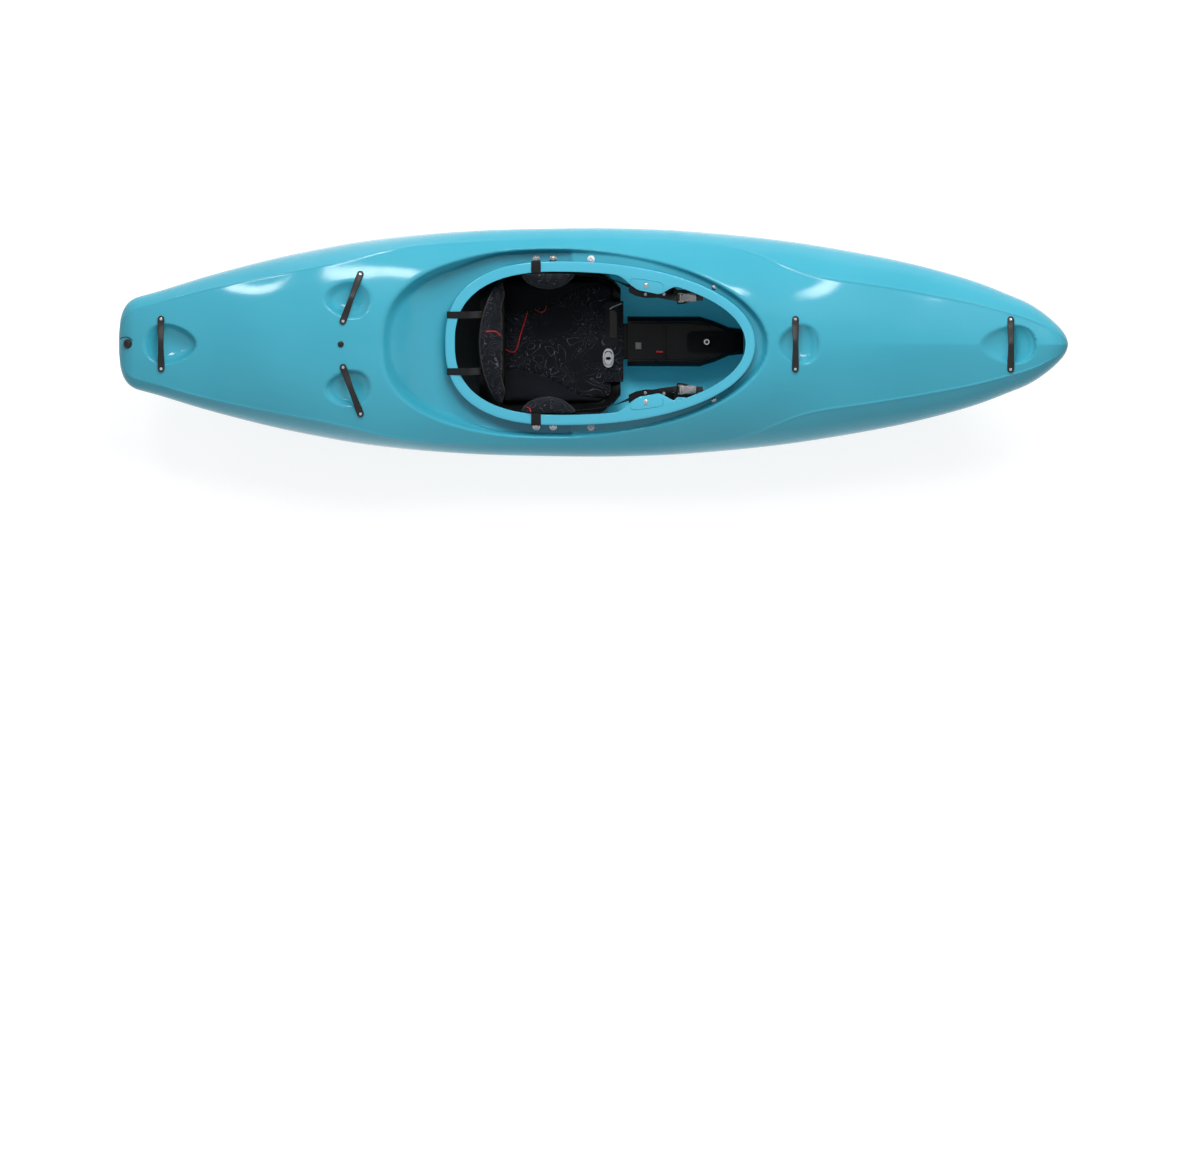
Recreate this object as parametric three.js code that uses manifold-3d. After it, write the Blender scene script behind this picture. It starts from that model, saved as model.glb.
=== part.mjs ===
// A whitewater creek kayak with its outfitting: moulded hull, grab handles, seat, backband,
// thigh braces, foot bulkhead, pillars, straps and bolts.
// Millimetres, +X towards the bow, +Y to port, +Z up. The origin is on the ground under mid-length.

import * as THREE from "three";
import { mergeVertices } from "three/addons/utils/BufferGeometryUtils.js";
import Module from "manifold-3d";

const wasm = await Module();
wasm.setup();

// Driving dimensions of the hull
const hullLength = 2740;
const halfBeam = 333;
const hullHeight = 492;
const hullWall = 5;
const bottomFlat = 3;
const boltClearance = 0.4;
const seatGap = 0.3;
const cutOverrun = 20;
const mergeDistance = 0.0001;

// Driving dimensions of the cockpit
const cockpitCentreX = -95;
const openingRear = 304;
const openingFront = 536;
const openingHalfWidthShare = 0.62763;
const openingHalfWidth = openingHalfWidthShare * halfBeam;
const coamingRise = 40;
const flangeWidth = 28;
const flangeThickness = 5;
const flangeOverhang = 2;
const lipWidth = 4;
const lipDrop = 12;
const lipRound = 1.5;
const moatRear = 525;
const moatFront = 602;
const moatGap = 65.5;
const moatHalfWidth = openingHalfWidth + moatGap;
const moatDraft = 8;
const shelfRearX = -330;
const shelfFrontX = -62;
const shelfGap = 8;
const shelfInnerY = openingHalfWidth + shelfGap;
const shelfEdge = 4;
const shelfDepth = 12;
const tabStartX = 65;
const tabLeadLength = 75;
const tabEndX = 185;
const tabTailLength = 62;
const tabDepth = 36;

// Driving dimensions of the hollows below the handles and of the rail recesses
const scoopDepth = 28;
const scoopLiftShare = 0.36;
const scoopWidth = 118;
const bowScoopXShare = 0.43431;
const bowScoopX = bowScoopXShare * hullLength;
const bowScoopLength = 166;
const foreScoopXShare = 0.21752;
const foreScoopX = foreScoopXShare * hullLength;
const foreScoopLength = 118;
const sternScoopXShare = -0.44745;
const sternScoopX = sternScoopXShare * hullLength;
const sternScoopLength = 158;
const rearScoopXShare = -0.25693;
const rearScoopX = rearScoopXShare * hullLength;
const rearScoopYShare = 0.4024;
const rearScoopY = rearScoopYShare * halfBeam;
const rearScoopLength = 132;
const rearScoopWidth = 110;
const railSlotXShare = 0.25803;
const railSlotX = railSlotXShare * hullLength;
const railSlotZShare = 0.42276;
const railSlotZ = railSlotZShare * hullHeight;
const railSlotLength = 84;
const railSlotHeight = 40;
const railSlotDepth = 7;

// Bolts and the drain plug: head radius and height, shank radius and length below the seat
const seatBolt = { head: 11, headHeight: 5, shank: 3, length: 26 };
const tabBolt = { head: 7, headHeight: 4, shank: 3, length: 18 };
const railBolt = { head: 9, headHeight: 4, shank: 3, length: 20 };
const pillarBolt = { head: 9, headHeight: 5, shank: 3, length: 30 };
const knob = { head: 12, headHeight: 9, shank: 3, length: 26 };
const drainPlug = { head: 13.5, headHeight: 8, shank: 7, length: 14 };
const headShoulderShare = 0.6;
const headCrownShare = 0.7;
const seatBoltXs = [-163, -114, -4];
const seatBoltGap = 34;
const seatBoltY = openingHalfWidth + seatBoltGap;
const tabBoltX = 155;
const tabBoltYShare = 0.5045;
const tabBoltY = tabBoltYShare * halfBeam;
const braceBoltX = 351;
const braceBoltGap = 3.8;
const railBoltGap = 23;
const pillarBoltXShare = -0.2646;
const pillarBoltX = pillarBoltXShare * hullLength;
const knobX = 333;
const plugXShare = -0.48978;
const plugX = plugXShare * hullLength;

// Grab handles
const handleSpan = 144;
const handleEnd = 9.5;
const handleWidth = 19.5;
const handleThickness = 4.5;
const handleArch = 13;
const handleGap = 0.6;
const bowHandleXShare = 0.43942;
const bowHandleX = bowHandleXShare * hullLength;
const foreHandleXShare = 0.2135;
const foreHandleX = foreHandleXShare * hullLength;
const sternHandleXShare = -0.45438;
const sternHandleX = sternHandleXShare * hullLength;
const rearHandleInnerXShare = -0.26226;
const rearHandleInnerX = rearHandleInnerXShare * hullLength;
const rearHandleInnerYShare = 0.1988;
const rearHandleInnerY = rearHandleInnerYShare * halfBeam;
const rearHandleOuterXShare = -0.24427;
const rearHandleOuterX = rearHandleOuterXShare * hullLength;
const rearHandleOuterYShare = 0.60631;
const rearHandleOuterY = rearHandleOuterYShare * halfBeam;

// Clearances inside the hull
const wallGap = 0.4;
const padGap = 0.4;
const strapGap = 0.9;
const strapThickness = 1.2;
const shelfStepLength = 20;

// Seat
const seatRear = -330;
const seatFront = 82;
const seatThickness = 5;
const seatDish = 2;
const seatBend = 16;
const seatLipRise = 34;
const seatLipWidth = 6;
const seatFlangeWidth = 52;
const flangeGap = 0.4;
const seatLineShares = [0.7, 0.9];
const seatWallBendShare = 0.4;
const cornerShare = 0.7;
const seatRibShares = [0.12, 0.95];
const seatRibStations = 6;
const seatRibYShare = 0.27628;
const seatRibY = seatRibYShare * halfBeam;
const seatRibWidth = 6;
const seatRibFoot = 0;
const seatTrim = 10;
const seatPadThickness = 24;
const seatPadStationShares = [0.165, 0.185, 0.238, 0.4, 0.65, 0.85, 0.92, 0.947];
const seatPadFullShares = [0.35, 0.7, 1, 1, 1, 1, 0.7, 0.35];
const seatPadEdgeShare = 0.6;
const seatPadTopShare = 0.97;
const seatPadSideGap = 14;
const seatPadGap = 0.9;

// Hip pads
const hipPadRear = -212;
const hipPadFront = -45;
const hipPadLowShare = 0.38618;
const hipPadLow = hipPadLowShare * hullHeight;
const hipPadHighShare = 0.67886;
const hipPadHigh = hipPadHighShare * hullHeight;
const hipPadRimGap = 6;
const hipPadEdge = 5;
const hipPadDepth = 34;
const hipSwellShare = 0.7;
const hipHeightShares = [0, 0.06, 0.2, 0.5, 0.8, 0.94, 1];
const hipFullShares = [0.45, 0.8, 1, 1, 1, 0.8, 0.45];
const hipStrapX = -163.5;
const hipStrapWidth = 28;
const hipStrapTail = 34;
const hipStrapReturn = 12;

// Backband and its straps
const backCentreX = -6;
const backRadius = 319;
const backHalfWidthShare = 0.54655;
const backHalfWidth = backHalfWidthShare * halfBeam;
const backShellThickness = 4;
const backShellLowShare = 0.24797;
const backShellLow = backShellLowShare * hullHeight;
const backShellHighShare = 0.58537;
const backShellHigh = backShellHighShare * hullHeight;
const backPadThickness = 17;
const backPadLowShare = 0.23577;
const backPadLow = backPadLowShare * hullHeight;
const backPadHighShare = 0.60163;
const backPadHigh = backPadHighShare * hullHeight;
const backPadThin = 0.4;
const backEndDrop = 24;
const backCorner = 18;
const rearStrapYShare = 0.24625;
const rearStrapY = rearStrapYShare * halfBeam;
const rearStrapWidth = 20;
const rearStrapFootShare = 0.43699;
const rearStrapFoot = rearStrapFootShare * hullHeight;
const rearStrapSteps = 12;
const rearStrapReturn = 10;
const rearStrapShares = [[0, 0], [0.02, 0.28], [0.3, 0.72], [0.62, 1.06], [0.86, 1.12]];
const ladderWidth = 18;
const ladderThickness = 1.6;
const ladderLead = 14;
const ladderTail = 6;
const ladderSteps = 22;
const ladderTwistShare = 0.55;
const ladderShares = [
  [-0.005, 0.89, 0.41], [0.0524, 0.925, 0.38], [0.1456, 0.947, 0.358], [0.4369, 0.947, 0.358],
  [0.6245, 0.88, 0.43], [0.8014, 0.72, 0.56],
];

// Thigh braces and ratchets
const braceRear = 105;
const braceFront = 392;
const braceThickness = 4;
const braceTrim = 18;
const braceDropX = 205;
const braceDropLength = 35;
const braceRearGap = 1.3;
const braceFrontGap = 2.3;
const bracePadStationShares = [0.05, 0.1, 0.17, 0.29, 0.335];
const bracePadThickness = 10;
const bracePadInset = 2;
const ratchetX = 247;
const ratchetSideGap = 1.6;
const ratchetLength = 50;
const ratchetWidth = 26;
const ratchetWall = 2;
const ratchetHeight = 15;
const ratchetPin = 2;
const ratchetPinX = 10;
const ratchetPinZ = 10;
const ratchetPlay = 0.5;
const ratchetKnuckle = 4.5;
const ratchetCheekShares = [[0, 0], [1, 0], [1, 0.3], [0.55, 0.4], [0.4, 1], [0.08, 1], [0, 0.6]];
const leverShares = [
  [0.2, 0.72], [0.3, 0.95], [0.5, 1.05], [1.12, 0.78], [1.1, 0.62], [0.5, 0.85], [0.32, 0.72],
];

// Leg lifter and its buckle
const flapRear = 30;
const flapGap = 1.9;
const flapLength = 60;
const flapHalfWidthShare = 0.35435;
const flapHalfWidth = flapHalfWidthShare * halfBeam;
const flapThickness = 6;
const lifterStrapIn = 6;
const lifterStrapWidth = 40;
const lifterStrapStart = -16;
const lifterStrapEnd = 116;
const lifterStrapThickness = 2;
const camX = 16;
const camY = -48;
const camWidth = 30;
const camLength = 54;
const camWall = 2;
const camHeight = 12;
const camPin = 1.8;
const camPinY = 14;
const camPinZ = 8;
const camCheek = 5;
const camKnuckle = 4;
const camLeverLength = 34;

// Console, pillars, foot rails and bulkhead
const consoleRear = 102;
const consoleFront = 440;
const consoleCorner = 12;
const consolePadRear = 276;
const consolePadFront = 424;
const consolePadHalf = 32;
const consolePadThickness = 10;
const consolePadStationShares = [0, 0.08, 0.3, 0.7, 0.92, 1];
const consolePadFullShares = [0.7, 0.95, 1, 1, 0.95, 0.7];
const rearPillarRearShare = -0.37956;
const rearPillarRear = rearPillarRearShare * hullLength;
const rearPillarFrontShare = -0.17518;
const rearPillarFront = rearPillarFrontShare * hullLength;
const rearPillarHalf = 38;
const frontPillarShares = [0.0371, 0.4208];
const frontPillarHalf = 32;
const railRearShare = 0.20073;
const railRear = railRearShare * hullLength;
const railFrontShare = 0.29562;
const railFront = railFrontShare * hullLength;
const railStandOff = 36.84;
const railThickness = 8;
const railHeight = 24;
const railBossLength = 76;
const railBossHeight = 16;
const footplateXShare = 0.2292;
const footplateX = footplateXShare * hullLength;
const footplateThickness = 12;
const footplateFarXShare = 0.2865;
const footplateFarX = footplateFarXShare * hullLength;
const footplateInset = 18;
const footplateHalfShare = 0.66667;
const footplateHalf = footplateHalfShare * halfBeam;
const footplateTopShare = 0.77236;
const footplateTop = footplateTopShare * hullHeight;
const shoeLength = 30;
const shoeWidth = 8;
const shoeHeight = 40;
const shoeReach = 7.5;
const shoeGap = 0.5;
const foamThickness = 26;
const foamInset = 12;
const foamHalfShare = 0.61261;
const foamHalf = foamHalfShare * halfBeam;

const kayak = new THREE.Group();
const up = new THREE.Vector3(0, 0, 1);
const port = new THREE.Vector3(0, 1, 0);
const ahead = new THREE.Vector3(1, 0, 0);
const sides = [["left", 1], ["right", -1]];

// Materials, one for each real material
const plastic = (color, roughness) => new THREE.MeshStandardMaterial({ color, roughness, metalness: 0 });
const hullPlastic = plastic(0x3fb4c8, 0.3);
const blackPlastic = plastic(0x141517, 0.45);
const fabric = plastic(0x17191c, 0.9);
const foam = plastic(0x1b1c1e, 0.95);
const webbing = plastic(0x121314, 0.8);
const greyPlastic = plastic(0xb9bcc0, 0.4);
const rubber = plastic(0x101112, 0.7);
const steel = new THREE.MeshStandardMaterial({ color: 0xc9ccd0, roughness: 0.3, metalness: 1 });
const aluminium = new THREE.MeshStandardMaterial({ color: 0xaeb3b8, roughness: 0.4, metalness: 1 });

// Solids and meshes
function solidOf(geometry) {
  const bare = geometry.index ? geometry.toNonIndexed() : geometry.clone();
  bare.deleteAttribute("normal");
  bare.deleteAttribute("uv");
  const merged = mergeVertices(bare, mergeDistance);
  const make = (triVerts) => new wasm.Manifold(
    new wasm.Mesh({ numProp: 3, vertProperties: merged.attributes.position.array, triVerts }),
  );
  const faces = new Uint32Array(merged.index.array);
  const made = make(faces);
  return made.volume() < 0 ? make(faces.reverse()) : made;
}

function geometryOf(solid) {
  const mesh = solid.getMesh();
  const places = new Float32Array(mesh.numVert * 3);
  for (let i = 0; i < mesh.numVert; i++) {
    const start = i * mesh.numProp;
    places.set(mesh.vertProperties.subarray(start, start + 3), i * 3);
  }
  const geometry = new THREE.BufferGeometry();
  geometry.setAttribute("position", new THREE.BufferAttribute(places, 3));
  geometry.setIndex(new THREE.BufferAttribute(mesh.triVerts, 1));
  return geometry;
}

function addPiece(name, solid, material) {
  const geometry = solid.isBufferGeometry ? solid : geometryOf(solid);
  const mesh = new THREE.Mesh(geometry, material);
  mesh.name = name;
  kayak.add(mesh);
  return mesh;
}

// A closed solid through rings of points. Open lofts get flat ends, closed ones join end to start.
function loft(rings, closed = false) {
  const count = rings[0].length;
  const places = rings.flat().flatMap((p) => [p.x, p.y, p.z]);
  const faces = [];
  const steps = closed ? rings.length : rings.length - 1;
  for (let i = 0; i < steps; i++) {
    const here = i * count;
    const next = ((i + 1) % rings.length) * count;
    for (let j = 0; j < count; j++) {
      const k = (j + 1) % count;
      faces.push(here + j, next + j, here + k, here + k, next + j, next + k);
    }
  }
  if (!closed) {
    [0, rings.length - 1].forEach((end, side) => {
      for (let j = 0, k = count - 1; j < k - 1; j++, k--) {
        const flat = [[j, k, j + 1], ...(k - j > 2 ? [[j + 1, k, k - 1]] : [])];
        flat.forEach((face) => {
          const wound = side ? face : face.reverse();
          faces.push(...wound.map((v) => v + end * count));
        });
      }
    });
  }
  const geometry = new THREE.BufferGeometry();
  geometry.setAttribute("position", new THREE.Float32BufferAttribute(places, 3));
  geometry.setIndex(faces);
  return solidOf(geometry);
}

// A solid of revolution from [radius, height] pairs, standing on its foot and leaning along axis
const turnedSides = 12;
const knuckleSides = 16;
function turned(profile, foot, axis, segments = turnedSides) {
  const outline = profile.map(([r, h]) => new THREE.Vector2(r, h));
  const geometry = new THREE.LatheGeometry(outline, segments);
  geometry.rotateX(Math.PI / 2);
  geometry.applyQuaternion(new THREE.Quaternion().setFromUnitVectors(up, axis));
  geometry.translate(foot.x, foot.y, foot.z);
  return solidOf(geometry);
}

// A round bar or hole between two points
function rod(radius, from, to, segments = turnedSides) {
  const along = to.clone().sub(from);
  const profile = [[0, 0], [radius, 0], [radius, along.length()], [0, along.length()]];
  return turned(profile, from, along.normalize(), segments);
}

function block(low, high) {
  const size = high.clone().sub(low);
  const geometry = new THREE.BoxGeometry(size.x, size.y, size.z);
  const middle = low.clone().add(high).multiplyScalar(1 / 2);
  geometry.translate(middle.x, middle.y, middle.z);
  return solidOf(geometry);
}

const mirrored = (solid) => solid.mirror([0, 1, 0]);
const onSide = (solid, side) => (side > 0 ? solid : mirrored(solid));
const point = (x, y, z) => new THREE.Vector3(x, y, z);
const clamp01 = (t) => THREE.MathUtils.clamp(t, 0, 1);
const smooth = (t) => clamp01(t) ** 2 * (3 - 2 * clamp01(t));
const lerp = THREE.MathUtils.lerp;
const range = (count) => [...Array(count).keys()];

// A smooth curve through rows of [place share, value share], with no overshoot between rows
function curveThrough(rows) {
  const slope = (i) => (rows[i + 1][1] - rows[i][1]) / (rows[i + 1][0] - rows[i][0]);
  const tangents = rows.map((row, i) => {
    if (i === 0) return slope(0);
    if (i === rows.length - 1) return slope(i - 1);
    const [before, after] = [slope(i - 1), slope(i)];
    return before * after <= 0 ? 0 : (2 * before * after) / (before + after);
  });
  return (place) => {
    let i = rows.findIndex((row) => row[0] > place) - 1;
    if (i < -1) i = rows.length - 2;
    if (i < 0) i = 0;
    const span = rows[i + 1][0] - rows[i][0];
    const t = clamp01((place - rows[i][0]) / span);
    const rise = t * t * (3 - 2 * t);
    const start = rows[i][1] * (1 - rise) + rows[i + 1][1] * rise;
    const lean = t * (1 - t) * span;
    return start + lean * ((1 - t) * tangents[i] - t * tangents[i + 1]);
  };
}

// Hull lines, from the stern at 0 to the bow at 1
const beamAt = curveThrough([
  [0, 0.36], [0.0422, 0.456], [0.0844, 0.565], [0.1266, 0.661], [0.1689, 0.748], [0.2111, 0.82],
  [0.2533, 0.882], [0.2955, 0.925], [0.3377, 0.957], [0.4011, 0.986], [0.5066, 1], [0.5699, 0.988],
  [0.6332, 0.952], [0.6966, 0.897], [0.7599, 0.818], [0.8232, 0.719], [0.8654, 0.634],
  [0.9077, 0.53], [0.9499, 0.39], [1, 0.235],
]);
const keelAt = curveThrough([
  [0, 0.655], [0.0212, 0.602], [0.0635, 0.491], [0.1058, 0.385], [0.1481, 0.297], [0.1905, 0.215],
  [0.2328, 0.144], [0.2751, 0.085], [0.3175, 0.05], [0.3598, 0.026], [0.4021, 0.008], [0.4656, 0],
  [0.5714, 0], [0.6138, 0.008], [0.6561, 0.026], [0.6984, 0.05], [0.7407, 0.091], [0.7831, 0.144],
  [0.8254, 0.215], [0.8677, 0.315], [0.9101, 0.443], [0.9524, 0.608], [0.9735, 0.713], [1, 0.87],
]);
const beamHeightAt = curveThrough([
  [0, 0.69], [0.0381, 0.642], [0.0812, 0.61], [0.1354, 0.569], [0.2, 0.522], [0.2646, 0.48],
  [0.3228, 0.457], [0.3661, 0.439], [0.4528, 0.423], [0.5175, 0.423], [0.6402, 0.439],
  [0.6984, 0.47], [0.7767, 0.514], [0.856, 0.591], [0.9217, 0.687], [0.9612, 0.768], [1, 0.885],
]);
const deckHeightAt = curveThrough([
  [0, 0.752], [0.0212, 0.778], [0.0423, 0.797], [0.0847, 0.817], [0.127, 0.85], [0.1429, 0.872],
  [0.1852, 0.883], [0.217, 0.886], [0.2434, 0.88], [0.2751, 0.862], [0.3228, 0.82], [0.37, 0.775],
  [0.42, 0.755], [0.5, 0.775], [0.55, 0.805], [0.6, 0.84], [0.65, 0.862], [0.7, 0.868], [0.8, 0.87],
  [0.8556, 0.893], [0.9217, 0.923], [0.9587, 0.965], [0.982, 0.998], [1, 1.004],
]);
const creaseHeightAt = curveThrough([
  [0, 0.748], [0.0275, 0.774], [0.0921, 0.785], [0.1566, 0.795], [0.2108, 0.809], [0.2434, 0.789],
  [0.2868, 0.742], [0.3228, 0.685], [0.3651, 0.63], [0.4307, 0.59], [0.5, 0.588], [0.56, 0.604],
  [0.61, 0.632], [0.6455, 0.663], [0.69, 0.715], [0.7243, 0.765], [0.7566, 0.793], [0.8, 0.799],
  [0.8434, 0.811], [0.8825, 0.845], [0.9217, 0.878], [0.956, 0.925], [0.98, 0.97], [1, 0.985],
]);
const creaseReachAt = curveThrough([
  [0, 0.74], [0.077, 0.806], [0.2121, 0.81], [0.2385, 0.832], [0.2818, 0.885], [0.3177, 0.903],
  [0.5, 0.9], [0.5931, 0.912], [0.6733, 0.856], [0.7229, 0.69], [0.782, 0.672], [0.8338, 0.657],
  [0.9393, 0.634], [0.972, 0.6], [1, 0.55],
]);
const bottomFullnessAt = curveThrough([[0, 2.1], [0.25, 2.4], [0.5, 2.7], [0.75, 2.4], [1, 2.05]]);
const crownFullnessAt = curveThrough([
  [0, 2.4], [0.22, 2.2], [0.35, 2.8], [0.62, 3], [0.72, 2.1], [0.84, 1.5], [1, 1.35],
]);
const sternRoundShare = 0.017;
const bowRoundShare = 0.02;
const sternPlanRoundShare = 0.024;
const bowPlanRoundShare = 0.05;
const tipFullness = 2;
const sternPlanFullness = 3;
const sternTipShare = 0.69;
const bowTipShare = 0.915;
const topsideBowShare = 0.6;

// How far an end has closed, from 1 where it is whole to 0 at the tip
function endRound(place, endShare, fullness) {
  const into = clamp01((place - (1 - endShare)) / endShare);
  return (1 - into ** fullness) ** (1 / fullness);
}

// The sizes of the hull's section at a share of its length, pulled in by inset
function sectionSizes(place, inset) {
  const stern = endRound(1 - place, sternRoundShare, tipFullness);
  const bow = endRound(place, bowRoundShare, tipFullness);
  const closing = stern * bow;
  const tip = (place < 1 / 2 ? sternTipShare : bowTipShare) * hullHeight;
  const height = (share) => lerp(tip, share * hullHeight, closing);
  const plan = endRound(1 - place, sternPlanRoundShare, sternPlanFullness)
    * endRound(place, bowPlanRoundShare, tipFullness);
  const beam = beamAt(place) * halfBeam * plan - inset;
  const keel = height(keelAt(place)) - bottomFlat * closing + inset;
  const deck = height(deckHeightAt(place)) - inset;
  const crease = Math.min(height(creaseHeightAt(place)) - inset, deck);
  return {
    beam,
    keel,
    deck,
    crease,
    beamHeight: height(beamHeightAt(place)),
    creaseReach: beam * creaseReachAt(place),
    bottomPower: 2 / bottomFullnessAt(place),
    crownPower: crownFullnessAt(place),
    floor: inset,
  };
}

const stationX = (place) => (place - 1 / 2) * hullLength;
const placeOf = (x) => x / hullLength + 1 / 2;

function crownHeight(sizes, y) {
  const reach = clamp01(Math.abs(y) / sizes.creaseReach);
  return sizes.crease + (sizes.deck - sizes.crease) * (1 - reach ** sizes.crownPower);
}

// Half of a section, from the keel round the beam and the crease to the middle of the deck
function halfSection(sizes, bottomSteps, topsideSteps, deckSteps) {
  const points = [];
  for (let i = 0; i <= bottomSteps; i++) {
    const turn = (i / bottomSteps) * Math.PI / 2;
    const out = Math.sin(turn) ** sizes.bottomPower;
    const drop = Math.cos(turn) ** sizes.bottomPower;
    const z = sizes.beamHeight - (sizes.beamHeight - sizes.keel) * drop;
    points.push([sizes.beam * out, Math.max(z, sizes.floor)]);
  }
  const bend = sizes.beamHeight + (sizes.crease - sizes.beamHeight) * topsideBowShare;
  for (let i = 1; i <= topsideSteps; i++) {
    const t = i / topsideSteps;
    const y = sizes.beam * (1 - t * t) + sizes.creaseReach * t * t;
    const z = sizes.beamHeight * (1 - t) ** 2 + bend * 2 * t * (1 - t) + sizes.crease * t * t;
    points.push([y, z]);
  }
  for (let i = 1; i <= deckSteps; i++) {
    const y = sizes.creaseReach * Math.cos((i / deckSteps) * Math.PI / 2);
    points.push([y, crownHeight(sizes, y)]);
  }
  return points;
}

function sectionRing(place, inset, steps) {
  const half = halfSection(sectionSizes(place, inset), ...steps);
  const x = stationX(place);
  const starboard = half.slice(1, -1).reverse().map(([y, z]) => point(x, -y, z));
  return [...half.map(([y, z]) => point(x, y, z)), ...starboard];
}

// Stations lie closer together towards both ends
const endCrowdingShare = 0.7;
function stations(count, first, last) {
  return range(count).map((i) => {
    const even = i / (count - 1);
    const eased = (1 - Math.cos(even * Math.PI)) / 2;
    return lerp(first, last, lerp(even, eased, endCrowdingShare));
  });
}

const outerStationCount = 44;
const innerStationCount = 30;
const outerSteps = [8, 3, 6];
const innerSteps = [6, 2, 4];
const tipShare = 0.0004;
const innerSternShare = 0.0055;
const innerBowShare = 0.012;
const outerHull = loft(stations(outerStationCount, tipShare, 1 - tipShare)
  .map((place) => sectionRing(place, 0, outerSteps)));
const innerHull = loft(stations(innerStationCount, innerSternShare, 1 - innerBowShare)
  .map((place) => sectionRing(place, hullWall, innerSteps)));

// Finding a surface with a ray
const caster = new THREE.Raycaster();
function meshOf(solid) {
  const mesh = new THREE.Mesh(geometryOf(solid), new THREE.MeshBasicMaterial({ side: THREE.DoubleSide }));
  mesh.geometry.computeBoundingSphere();
  return mesh;
}

function hitOn(mesh, from, along) {
  caster.set(from, along);
  return caster.intersectObject(mesh)[0];
}

const outerMesh = meshOf(outerHull);
const highAbove = 2 * hullHeight;
const farAside = 2 * halfBeam;
function deckHit(x, y) {
  return hitOn(outerMesh, point(x, y, highAbove), point(0, 0, -1));
}

function flankHit(x, z) {
  return hitOn(outerMesh, point(x, farAside, z), point(0, -1, 0));
}

// Cockpit lines: the rim's height along the coaming, the moat round it and the bowl behind it
const rimHeightAt = curveThrough([
  [0, 0.6463], [0.0971, 0.6443], [0.317, 0.6565], [0.4463, 0.687], [0.5815, 0.7358],
  [0.7332, 0.7927], [0.8236, 0.8232], [0.8885, 0.8476], [0.9686, 0.8699], [1.001, 0.874],
]);
const bowlRiseAt = curveThrough([
  [0.6285, 0], [0.6572, 0.002], [0.7141, 0.0244], [0.7715, 0.0691], [0.8477, 0.1423],
  [0.924, 0.2236], [1.0002, 0.2988], [1.0383, 0.3354],
]);
const rimFullness = { rear: 2.5, front: 2.1 };
const moatFullness = { rear: 2.35, front: 1.93 };
const coamingRear = cockpitCentreX - openingRear - flangeWidth;
const coamingLength = openingRear + openingFront + 2 * flangeWidth;
const rimZ = (x) => rimHeightAt((x - coamingRear) / coamingLength) * hullHeight;
const bowlRise = (x) => bowlRiseAt((cockpitCentreX - x) / moatRear) * hullHeight;
const moatFloorZ = (x) => rimZ(x) - coamingRise + bowlRise(x);

// A point of an oval that has its own length ahead of and behind the cockpit's centre
function ovalPoint(turn, rear, front, halfWidth, fullness) {
  const forward = Math.cos(turn) >= 0;
  const power = 2 / (forward ? fullness.front : fullness.rear);
  const along = Math.abs(Math.cos(turn)) ** power * (forward ? front : -rear);
  const across = Math.abs(Math.sin(turn)) ** power * halfWidth * Math.sign(Math.sin(turn));
  return [cockpitCentreX + along, across];
}

// The half-width of such an oval at x
function ovalHalfWidth(x, rear, front, halfWidth, fullness) {
  const forward = x >= cockpitCentreX;
  const power = forward ? fullness.front : fullness.rear;
  const reach = Math.min(Math.abs(x - cockpitCentreX) / (forward ? front : rear), 1);
  return halfWidth * (1 - reach ** power) ** (1 / power);
}

const openingHalfAt = (x, out) => ovalHalfWidth(
  x, openingRear + out, openingFront + out, openingHalfWidth + out, rimFullness,
);
const flangeHalfAt = (x) => openingHalfAt(x, flangeWidth);
const moatHalfAt = (x, out) => ovalHalfWidth(
  x, moatRear + out, moatFront + out, moatHalfWidth + out, moatFullness,
);

// How far behind the cockpit's centre the oval lies at y
function rearReachAt(y, out) {
  const power = rimFullness.rear;
  return (openingRear + out) * (1 - (y / (openingHalfWidth + out)) ** power) ** (1 / power);
}

// The thigh tab swells the flange inwards on both sides
function tabReach(x) {
  const begin = smooth((x - tabStartX) / tabLeadLength);
  const end = smooth((x - tabEndX) / tabTailLength);
  return flangeOverhang + tabDepth * begin * (1 - end);
}

// The moat and bowl as one cutter, drawn larger and lower by grow
const moatStationCount = 30;
const moatEndShare = 0.004;
function moatCutter(grow) {
  const first = cockpitCentreX - moatRear - grow;
  const last = cockpitCentreX + moatFront + grow;
  const rings = stations(moatStationCount, moatEndShare, 1 - moatEndShare).map((share) => {
    const x = lerp(first, last, share);
    const top = moatHalfAt(x, grow);
    const foot = Math.max(top - moatDraft, top / 2);
    const low = moatFloorZ(x) - grow;
    return [
      point(x, -foot, low), point(x, foot, low),
      point(x, top, low + moatDraft), point(x, top, highAbove),
      point(x, -top, highAbove), point(x, -top, low + moatDraft),
    ];
  });
  return loft(rings);
}

// The deeper shelf in the moat for the seat's bolts
const shelfStationCount = 6;
function shelfCutter(grow) {
  const rings = range(shelfStationCount).map((i) => {
    const x = lerp(shelfRearX - grow, shelfFrontX + grow, i / (shelfStationCount - 1));
    const inner = shelfInnerY - grow;
    const outer = moatHalfAt(x, 0) - shelfEdge + grow;
    const low = moatFloorZ(x) - shelfDepth - grow;
    const high = moatFloorZ(x) + shelfDepth;
    return [point(x, inner, low), point(x, outer, low), point(x, outer, high), point(x, inner, high)];
  });
  return loft(rings);
}

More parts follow.
